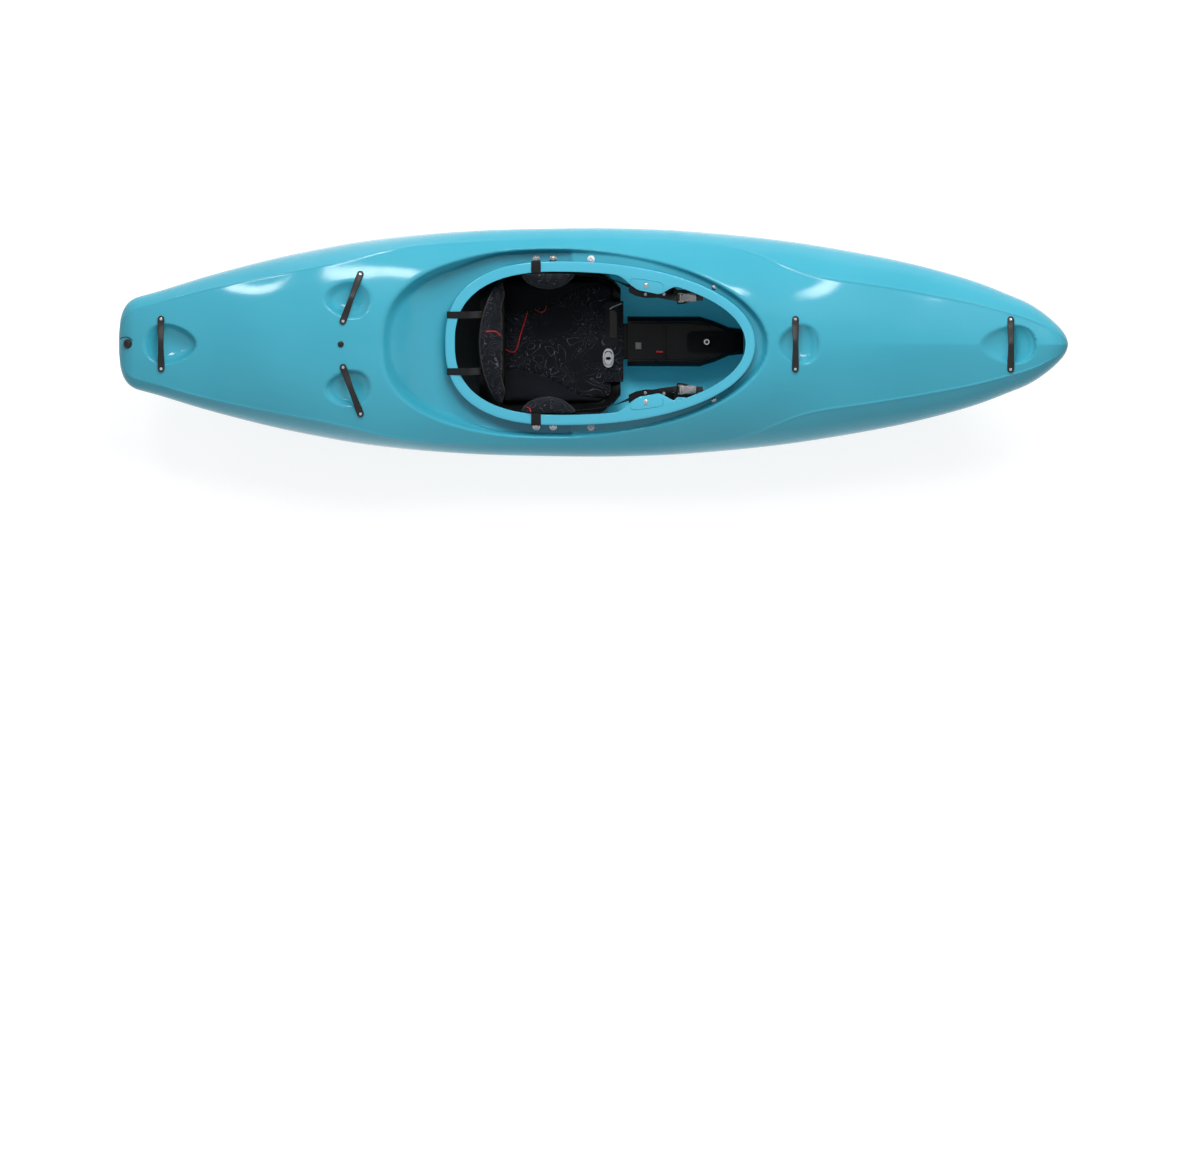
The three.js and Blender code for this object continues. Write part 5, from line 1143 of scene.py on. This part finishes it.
behind = bend_x - math.sqrt(plate_bend ** 2 - (rear_y - rear_half) ** 2) - strap_gap
rim_inner = rear_rim_x(rear_y + rear_half, -0.002)
rim_outer = rear_rim_x(rear_y - rear_half, flange_out)
rear_top = float(rim_z(np.array(rim_outer)))
for side in (1, -1):
    rise = [(behind + (rim_inner - behind) * a, 0.215 + (rear_top - 0.215) * b)
            for a, b in ((0, 0), (0.02, 0.28), (0.3, 0.72), (0.62, 1.06), (0.86, 1.12))]
    hook = [(rim_inner - 0.0009, rear_top + 0.004), (rim_inner - 0.012, rear_top + 0.0016),
            (rim_outer + 0.004, rear_top + 0.0010), (rim_outer, rear_top - 0.0004),
            (rim_outer - 0.0009, rear_top - 0.004), (rim_outer - 0.0009, rear_top - 0.011),
            (rim_outer + 0.001, rear_top - 0.0130), (rim_outer + 0.010, rear_top - 0.0132)]
    path = smooth_path([(x, side * rear_y, z) for x, z in rise + hook], 90)
    rear_strap = strap(mirrored_name("rear_webbing", side), path, (0, 1, 0), 0.020, 0.0016)
    placed(rear_strap, None, mirrored_name("rear_strap", side), webbing)
    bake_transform(rear_strap)

# Leg lifter. A stiff cloth-covered flap at the front of the seat, a strap across it and a cast cam
# buckle that holds the strap.
flap = copied("leg_lifter_flap", "lifter_flap_cover")
only(flap)
bpy.ops.object.mode_set(mode="EDIT")
bpy.ops.mesh.select_all(action="SELECT")
bpy.ops.mesh.subdivide(number_cuts=6)
bpy.ops.object.mode_set(mode="OBJECT")
rounded(flap, 0.0025, 3, 60)
placed(flap, "lifter", "leg_lifter_flap", cover)
top_z = 0.1071
path = smooth_path([(0.056, y, top_z + 0.001) for y in np.linspace(-0.016, 0.116, 6)], 40)
lifter_strap = strap("lifter_webbing", path, (1, 0, 0), width=0.040, thickness=0.0018)
placed(lifter_strap, "lifter", "leg_lifter_strap", webbing)

chrome = grained(
    "plated_casting", (0.10, 0.10, 0.105), (0.36, 0.365, 0.375), (0.22, 0.36), 260, 0.25, 1.0
)


def oval_frame(name, node, centre, half, hole, thickness, body, look):
    """A cast plate with an oval outline and a rounded slot through it."""
    turns = np.linspace(0, 2 * np.pi, 49)
    cos, sin = np.cos(turns), np.sin(turns)
    edge, oval, slot = 0.0009, 2.3, 4
    inset = (half[0] - edge, half[1] - edge)
    widened = (hole[0] + edge, hole[1] + edge)
    rows = []
    for (a, b), power, z in (
        (half, oval, 0), (half, oval, thickness - edge), (inset, oval, thickness),
        (widened, slot, thickness), (hole, slot, thickness - edge), (hole, slot, 0),
        (half, oval, 0),
    ):
        x = np.sign(cos) * np.abs(cos) ** (2 / power) * a + centre[0]
        y = np.sign(sin) * np.abs(sin) ** (2 / power) * b + centre[1]
        rows.append(np.column_stack([x, y, np.full(49, centre[2] + z)]))
    piece = welded(gridded(name, np.stack(rows, axis=0)))
    placed(piece, body, node, look)


cast = grained("cast_buckle", (0.30, 0.31, 0.33), (0.55, 0.56, 0.58), (0.28, 0.42), 420, 0.2, 0.6)
low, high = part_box("cam_buckle")
middle = ((low[0] + high[0]) / 2, (low[1] + high[1]) / 2)
oval_frame("cam_buckle_frame", "cam_buckle", (*middle, low[2] - 0.0002), (0.0165, 0.0280),
           (0.0105, 0.0200), 0.0075, "lifter", cast)
for i, x in enumerate((low[0] + 0.001, high[0] - 0.001)):
    boxed("cam_buckle_cheek_" + str(i + 1), (x - 0.0012, low[1] + 0.016, low[2] + 0.004),
          (x + 0.0012, low[1] + 0.030, high[2]), 0.0008, "lifter", cast)
low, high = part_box("cam_lever")
lever_x, lever_y = (low[0] + high[0]) / 2, (low[1] + high[1]) / 2
oval_frame("cam_buckle_lever", "cam_lever", (lever_x, lever_y, low[2] + 0.0015), (0.0112, 0.0195),
           (0.0068, 0.0040), high[2] - low[2] - 0.0015, "cam", cast)
for i in range(3):
    y = lever_y + 0.0085 + i * 0.0030
    boxed("cam_grip_" + str(i + 1), (lever_x - 0.0065, y, high[2] - 0.0004),
          (lever_x + 0.0065, y + 0.0014, high[2] + 0.0007), 0.0004, "cam", cast)
bar_look = grained(
    "glossy_webbing", (0.003, 0.0032, 0.0036), (0.008, 0.0085, 0.0095), (0.12, 0.2), 800, 0.1,
    shine=0.2,
)
boxed("lifter_strap_fold", (0.0495, 0.009, 0.1083), (0.0715, 0.092, 0.1108), 0.0011, "lifter",
      bar_look)
cord_look = grained("pull_cord", (0.30, 0.29, 0.27), (0.62, 0.61, 0.58), (0.6, 0.8), 900, 0.3)
cord_on("lifter_pull_cord", flap, [
    (0.0500, 0.0945, 0.13), (0.0540, 0.0985, 0.13), (0.0620, 0.1020, 0.13), (0.0700, 0.1055, 0.13),
    (0.0780, 0.1090, 0.13), (0.0860, 0.1120, 0.13),
], "lifter", 0.0021, cord_look, 0.9)

# Thigh braces. Moulded hooks bolted below the coaming's tabs, with a foam pad under each, and a
# ratchet that winds the backband's ladder strap.
for side in (1, -1):
    label = mirrored_name("", side)
    turning = "ratchet" + label
    dressed("thigh_brace" + label, "thigh_hook" + label, "hull", seat_plastic,
            0.0014, 3, flat=1.0)
    pad = dressed("thigh_pad" + label, "thigh_cushion" + label, "hull", foam, 0.003, 3)
    dressed("ratchet_body" + label, "ratchet_frame" + label, "hull", chrome, 0.0005)
    dressed("ratchet_lever" + label, "ratchet_arm" + label, turning, chrome, 0.0006)
    low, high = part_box("ratchet_body" + label)
    lever_low, lever_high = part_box("ratchet_lever" + label)
    middle = (low[1] + high[1]) / 2
    grips = 9
    for i in range(grips):
        share = i / (grips - 1)
        x = lever_low[0] + 0.012 + 0.034 * share
        z = lever_high[2] - 0.0035 + 0.0028 * share
        boxed("ratchet_grip" + label + "_" + str(i + 1), (x, middle - 0.0085, z),
              (x + 0.0018, middle + 0.0085, z + 0.0016), 0.0004, turning, chrome)
    rivets = [(low[0] + from_end, way, low[2] + from_end)
              for from_end in (0.0125, 0.006) for way in (-1, 1)]
    for i, (rivet_x, way, rivet_z) in enumerate(rivets):
        rivet = turned("ratchet_rivet%s_%d" % (label, i + 1), [
            (0.0, -0.0005), (0.0036, -0.0005), (0.0036, 0.0006), (0.0028, 0.0014), (0.0, 0.0017),
        ], 20, (rivet_x, middle + way * 0.0131, rivet_z), (0, way, 0))
        placed(rivet, "hull", None, chrome)
    for i, (x, y) in enumerate(((0.153, 0.1425), (0.2065, 0.1435))):
        screw = turned("brace_screw%s_%d" % (label, i + 1), [
            (0.0, -0.001), (0.0048, -0.001), (0.0050, 0.0004), (0.0046, 0.0013), (0.0034, 0.0019),
            (0.0026, 0.0021), (0.0019, 0.0021, "six"), (0.0018, 0.0018, "six"),
            (0.0018, 0.0007, "six"), (0.0, 0.0005),
        ], 30, (x, side * y, float(rim_z(np.array(x))) - 0.0063), (-0.19, 0, 1), 6)
        placed(screw, "hull", None, chrome)
    pocket = [(0.113, 0.168), (0.109, 0.178), (0.110, 0.187), (0.116, 0.1895), (0.135, 0.1885),
              (0.160, 0.1850), (0.185, 0.1810), (0.199, 0.1785), (0.204, 0.1740),
              (0.2045, 0.165), (0.203, 0.158)]
    # the pocket's bead is in the coaming's plastic, painted lighter as light on the rim
    cord_on("tab_pocket" + label, coaming, [(x, side * y, 0.45) for x, y in pocket], "hull",
            0.0014, painted_light_rim_plastic, 0.25)

# Ladder straps. Moulded toothed straps that run from the backband along both sides of the cockpit
# and twist up into the ratchets.
slope = math.radians(11.2)
ratchet_z = float(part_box("ratchet_body_left")[0][2])


def on_slope(along, side):
    """A point that far up the slope on which the ratchet stands."""
    flat = 0.0036
    x = 0.247 + along * math.cos(slope) - flat * math.sin(slope)
    return x, side * 0.133, ratchet_z + flat * math.cos(slope) + along * math.sin(slope)


ladder_rows = [(-0.505, 0.89, 0.41), (-0.45, 0.925, 0.38), (-0.36, 0.947, 0.358),
               (-0.08, 0.947, 0.358), (0.1, 0.88, 0.43), (0.27, 0.72, 0.56)]
for side in (1, -1):
    start = [(x * opening_front, side * y * opening_half, z * height) for x, y, z in ladder_rows]
    end = [on_slope(along, side) for along in (-0.014, 0, 0.03, 0.056, 0.074)]
    path = smooth_path(start + end, 430)
    share = np.linspace(0, 1, len(path))
    twist = ease((share / 0.86 - 0.55) / 0.45)[:, None]
    across = np.array([[0.0, 0.0, 1.0]]) * (1 - twist) + np.array([[0.0, -side, 0.0]]) * twist
    ladder = strap(mirrored_name("ladder_strap_ribbed", side), path, across, width=0.018,
                   thickness=0.0014, ripple=0.0007, pitch=0.004)
    placed(ladder, None, mirrored_name("ladder_strap", side), black_moulded)
    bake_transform(ladder)

# Bolts. Stainless button heads with a hexagon socket, each on a turned washer: six hold the seat,
# two the braces' tabs, two the braces' tips, four the foot rails and one the rear pillar.
steel = grained(
    "stainless_steel", (0.30, 0.30, 0.31), (0.52, 0.52, 0.53), (0.20, 0.34), 420, 0.08, 1.0
)
washer_grey = grained(
    "moulded_washer", (0.50, 0.51, 0.52), (0.66, 0.67, 0.68), (0.35, 0.5), 500, 0.15
)


def button_bolt(name, node, radius, rise, look):
    """A bolt's head and washer, turned about the axis of the CAD bolt that it stands for."""
    co = np.unique(np.round(points_of(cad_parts[node].data), 6), axis=0)
    centre = co.mean(axis=0)
    values, vectors = np.linalg.eigh(np.cov((co - centre).T))
    best = None
    for vector in vectors.T:
        along = (co - centre) @ vector
        off = np.linalg.norm((co - centre) - along[:, None] * vector, axis=1)
        ends = off[along > along.max() - 1e-4], off[along < along.min() + 1e-4]
        spread = off.max() - min(end.min() for end in ends)
        for sign in (1, -1):
            a = along * sign
            wide = off[a > a.max() - rise * 1.02].max()
            narrow = off[a < a.min() + 0.002].max()
            if wide > narrow * 1.8 and (best is None or narrow < best[0]):
                best = (narrow, vector * sign)
    axis = best[1]
    along = (co - centre) @ axis
    foot = centre + axis * (along.max() - rise)
    socket = radius * 0.30
    head = radius * 0.66
    profile = [
        (0.0, 0.0), (radius * 0.96, 0.0), (radius, rise * 0.08), (radius, rise * 0.26),
        (radius * 0.95, rise * 0.34), (head * 1.10, rise * 0.36), (head * 1.0, rise * 0.40),
        (head, rise * 0.62), (head * 0.94, rise * 0.80), (head * 0.80, rise * 0.93),
        (head * 0.62, rise * 0.98), (socket * 1.04, rise * 0.99, "six"),
        (socket, rise * 0.95, "six"), (socket, rise * 0.50, "six"), (0.0, rise * 0.44),
    ]
    bolt = turned(name, profile, 36, foot, axis, 6)
    placed(bolt, "hull", node, look)
    shank = turned(name + "_shank", [
        (0.0, 0.0), (radius * 0.25, 0.0), (radius * 0.27, 0.0004), (radius * 0.27, 0.012),
        (radius * 0.22, 0.0135), (0.0, 0.0136),
    ], 18, foot, -np.array(axis))
    placed(shank, "hull", None, steel)


for side in ("left", "right"):
    for where, look, slot in (("rear", steel, "steel"), ("middle", steel, "steel"),
                              ("front", washer_grey, "grey_plastic")):
        button_bolt("seat_screw_" + where + "_" + side, "seat_bolt_" + where + "_" + side, 0.011,
                    0.005, look)
    for kind, radius in (("tab_bolt", 0.007), ("brace_bolt", 0.007), ("rail_bolt_rear", 0.009),
                         ("rail_bolt_front", 0.009)):
        button_bolt(kind + "_screw_" + side, kind + "_" + side, radius, 0.004, steel)
button_bolt("pillar_screw", "rear_pillar_bolt", 0.009, 0.005, black_moulded)

# Grab handles. Five flat moulded straps that arch over the hollows, each held by two screws at its
# round flat ends.
grip_half, end_round_radius, handle_gap = 0.072, 0.0095, 0.0006
grip_half_width, grip_rise, screw_seat = 0.00975, 0.013, 0.0046


def deck_z(x, y):
    """The bare deck's height at each x and y."""
    sizes = section_sizes(np.array(x) / length + 0.5, 0)
    return crown(sizes, np.array(y))


def deck_at(x, y):
    return float(deck_z([x], [y])[0])


def grab_handle(name, node, start, end):
    """A strap that arches from one end to the other, waisted in the middle, and its two screws."""
    start, end = np.array(start), np.array(end)
    middle, along = (start + end) / 2, (end - start) / np.linalg.norm(end - start)
    across = np.array([-along[1], along[0]])
    reach = grip_half + end_round_radius
    u = np.concatenate([
        -reach + end_round_radius * (1 - np.cos(np.linspace(0, np.pi / 2, 7))),
        np.linspace(-reach + 0.0115, reach - 0.0115, 45),
        reach - end_round_radius * (1 - np.sin(np.linspace(0, np.pi / 2, 7))),
    ])
    into_end = np.clip((reach - np.abs(u)) / end_round_radius, 0, 1)
    half = grip_half_width * np.sqrt(np.clip(1 - (1 - into_end) ** 2, 0.0004, 1))
    waist = 1 - 0.16 * ease(1 - np.abs(u) / 0.058)
    half = half * waist
    rise = grip_rise * (1 - ease(np.abs(u) / (grip_half - end_round_radius)))
    profile = [
        (-1, 0.0008), (-0.96, 0.0), (-0.5, 0.0), (0, 0.0), (0.5, 0.0), (0.96, 0.0), (1, 0.0008),
        (1, 0.0030), (0.95, 0.0040), (0.86, 0.0045), (0.5, 0.0047), (0, 0.0048), (-0.5, 0.0047),
        (-0.86, 0.0045), (-0.95, 0.0040), (-1, 0.0030), (-1, 0.0008),
    ]
    rows = []
    for a, b in profile:
        x = middle[0] + along[0] * u + across[0] * half * a
        y = middle[1] + along[1] * u + across[1] * half * a
        z = deck_z(x, y) + handle_gap + rise + b
        rows.append(np.stack([x, y, z], axis=-1))
    handle = welded(gridded(name, np.stack(rows, axis=1)), 50)
    placed(handle, "hull", node, black_moulded)
    step = 0.004
    for i, u_at in enumerate((-grip_half, grip_half)):
        x, y = middle + along * u_at
        z = deck_at(x, y) + handle_gap + screw_seat
        lean = np.array([-(deck_at(x + step, y) - deck_at(x - step, y)) / (2 * step),
                         -(deck_at(x, y + step) - deck_at(x, y - step)) / (2 * step), 1.0])
        screw = turned(name + "_screw_" + str(i + 1), [
            (0.0, -0.001), (0.0044, -0.001), (0.0046, 0.0004), (0.0043, 0.0012), (0.0034, 0.0019),
            (0.0025, 0.0021), (0.0018, 0.0021, "six"), (0.0017, 0.0018, "six"),
            (0.0017, 0.0006, "six"), (0.0, 0.0004),
        ], 36, (x, y, z), lean / np.linalg.norm(lean), 6)
        placed(screw, "hull", None, steel)


for name, x in (("bow", 1.204), ("foredeck", 0.585), ("stern", -1.245)):
    grab_handle(name + "_grab", name + "_handle", (x, -grip_half), (x, grip_half))
for side in (1, -1):
    label = mirrored_name("", side)
    grab_handle("rear_grab" + label, "rear_handle" + label, (-0.7186, side * 0.0662),
                (-0.6693, side * 0.2019))

# Drain plug. A black moulded knob with a flat grip on top and a threaded stem that screws into a
# hole in the stern's deck.
plug_axis = np.array([-0.378145, 0.0, 0.925744])
co = points_of(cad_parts["drain_plug"].data)
plug_centre = co.mean(axis=0)
plug_foot = plug_centre + plug_axis * ((co @ plug_axis).max() - plug_centre @ plug_axis - 0.008)
plug = turned("drain_plug_knob", [
    (0.0, 0.0), (0.0126, 0.0), (0.0135, 0.0008), (0.0135, 0.0030), (0.0130, 0.0038),
    (0.0112, 0.0042), (0.0108, 0.0062), (0.0098, 0.0075), (0.0080, 0.0080), (0.0062, 0.0080),
    (0.0056, 0.0072), (0.0050, 0.0058), (0.0, 0.0056),
], 36, plug_foot, plug_axis)
placed(plug, "plug", "drain_plug", black_moulded)
plug_screw = turned("drain_plug_thread", [
    (0.0, -0.0135), (0.0060, -0.0135), (0.0067, -0.0125), (0.0062, -0.0110), (0.0067, -0.0095),
    (0.0062, -0.0080), (0.0067, -0.0065), (0.0062, -0.0050), (0.0067, -0.0035), (0.0062, -0.0020),
    (0.0064, -0.0002), (0.0, 0.0),
], 24, plug_foot, plug_axis)
placed(plug_screw, "plug", None, black_moulded)

# Plug leash. A thin moulded cord that keeps the plug on the boat: a short length of it lies on the
# deck and curls round the knob.
round_plug = [(-0.0235, 0.0145), (-0.0205, 0.0162), (-0.013, 0.0188), (-0.0043, 0.0200),
              (0.0035, 0.0182), (0.0093, 0.0146), (0.0135, 0.0090)]
leash = cord_on("plug_leash", outer, [
    (plug_centre[0] + along, plug_centre[1] + across, 0.42) for along, across in round_plug
], None, 0.0011, black_moulded, 0.9)
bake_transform(leash)

low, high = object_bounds()
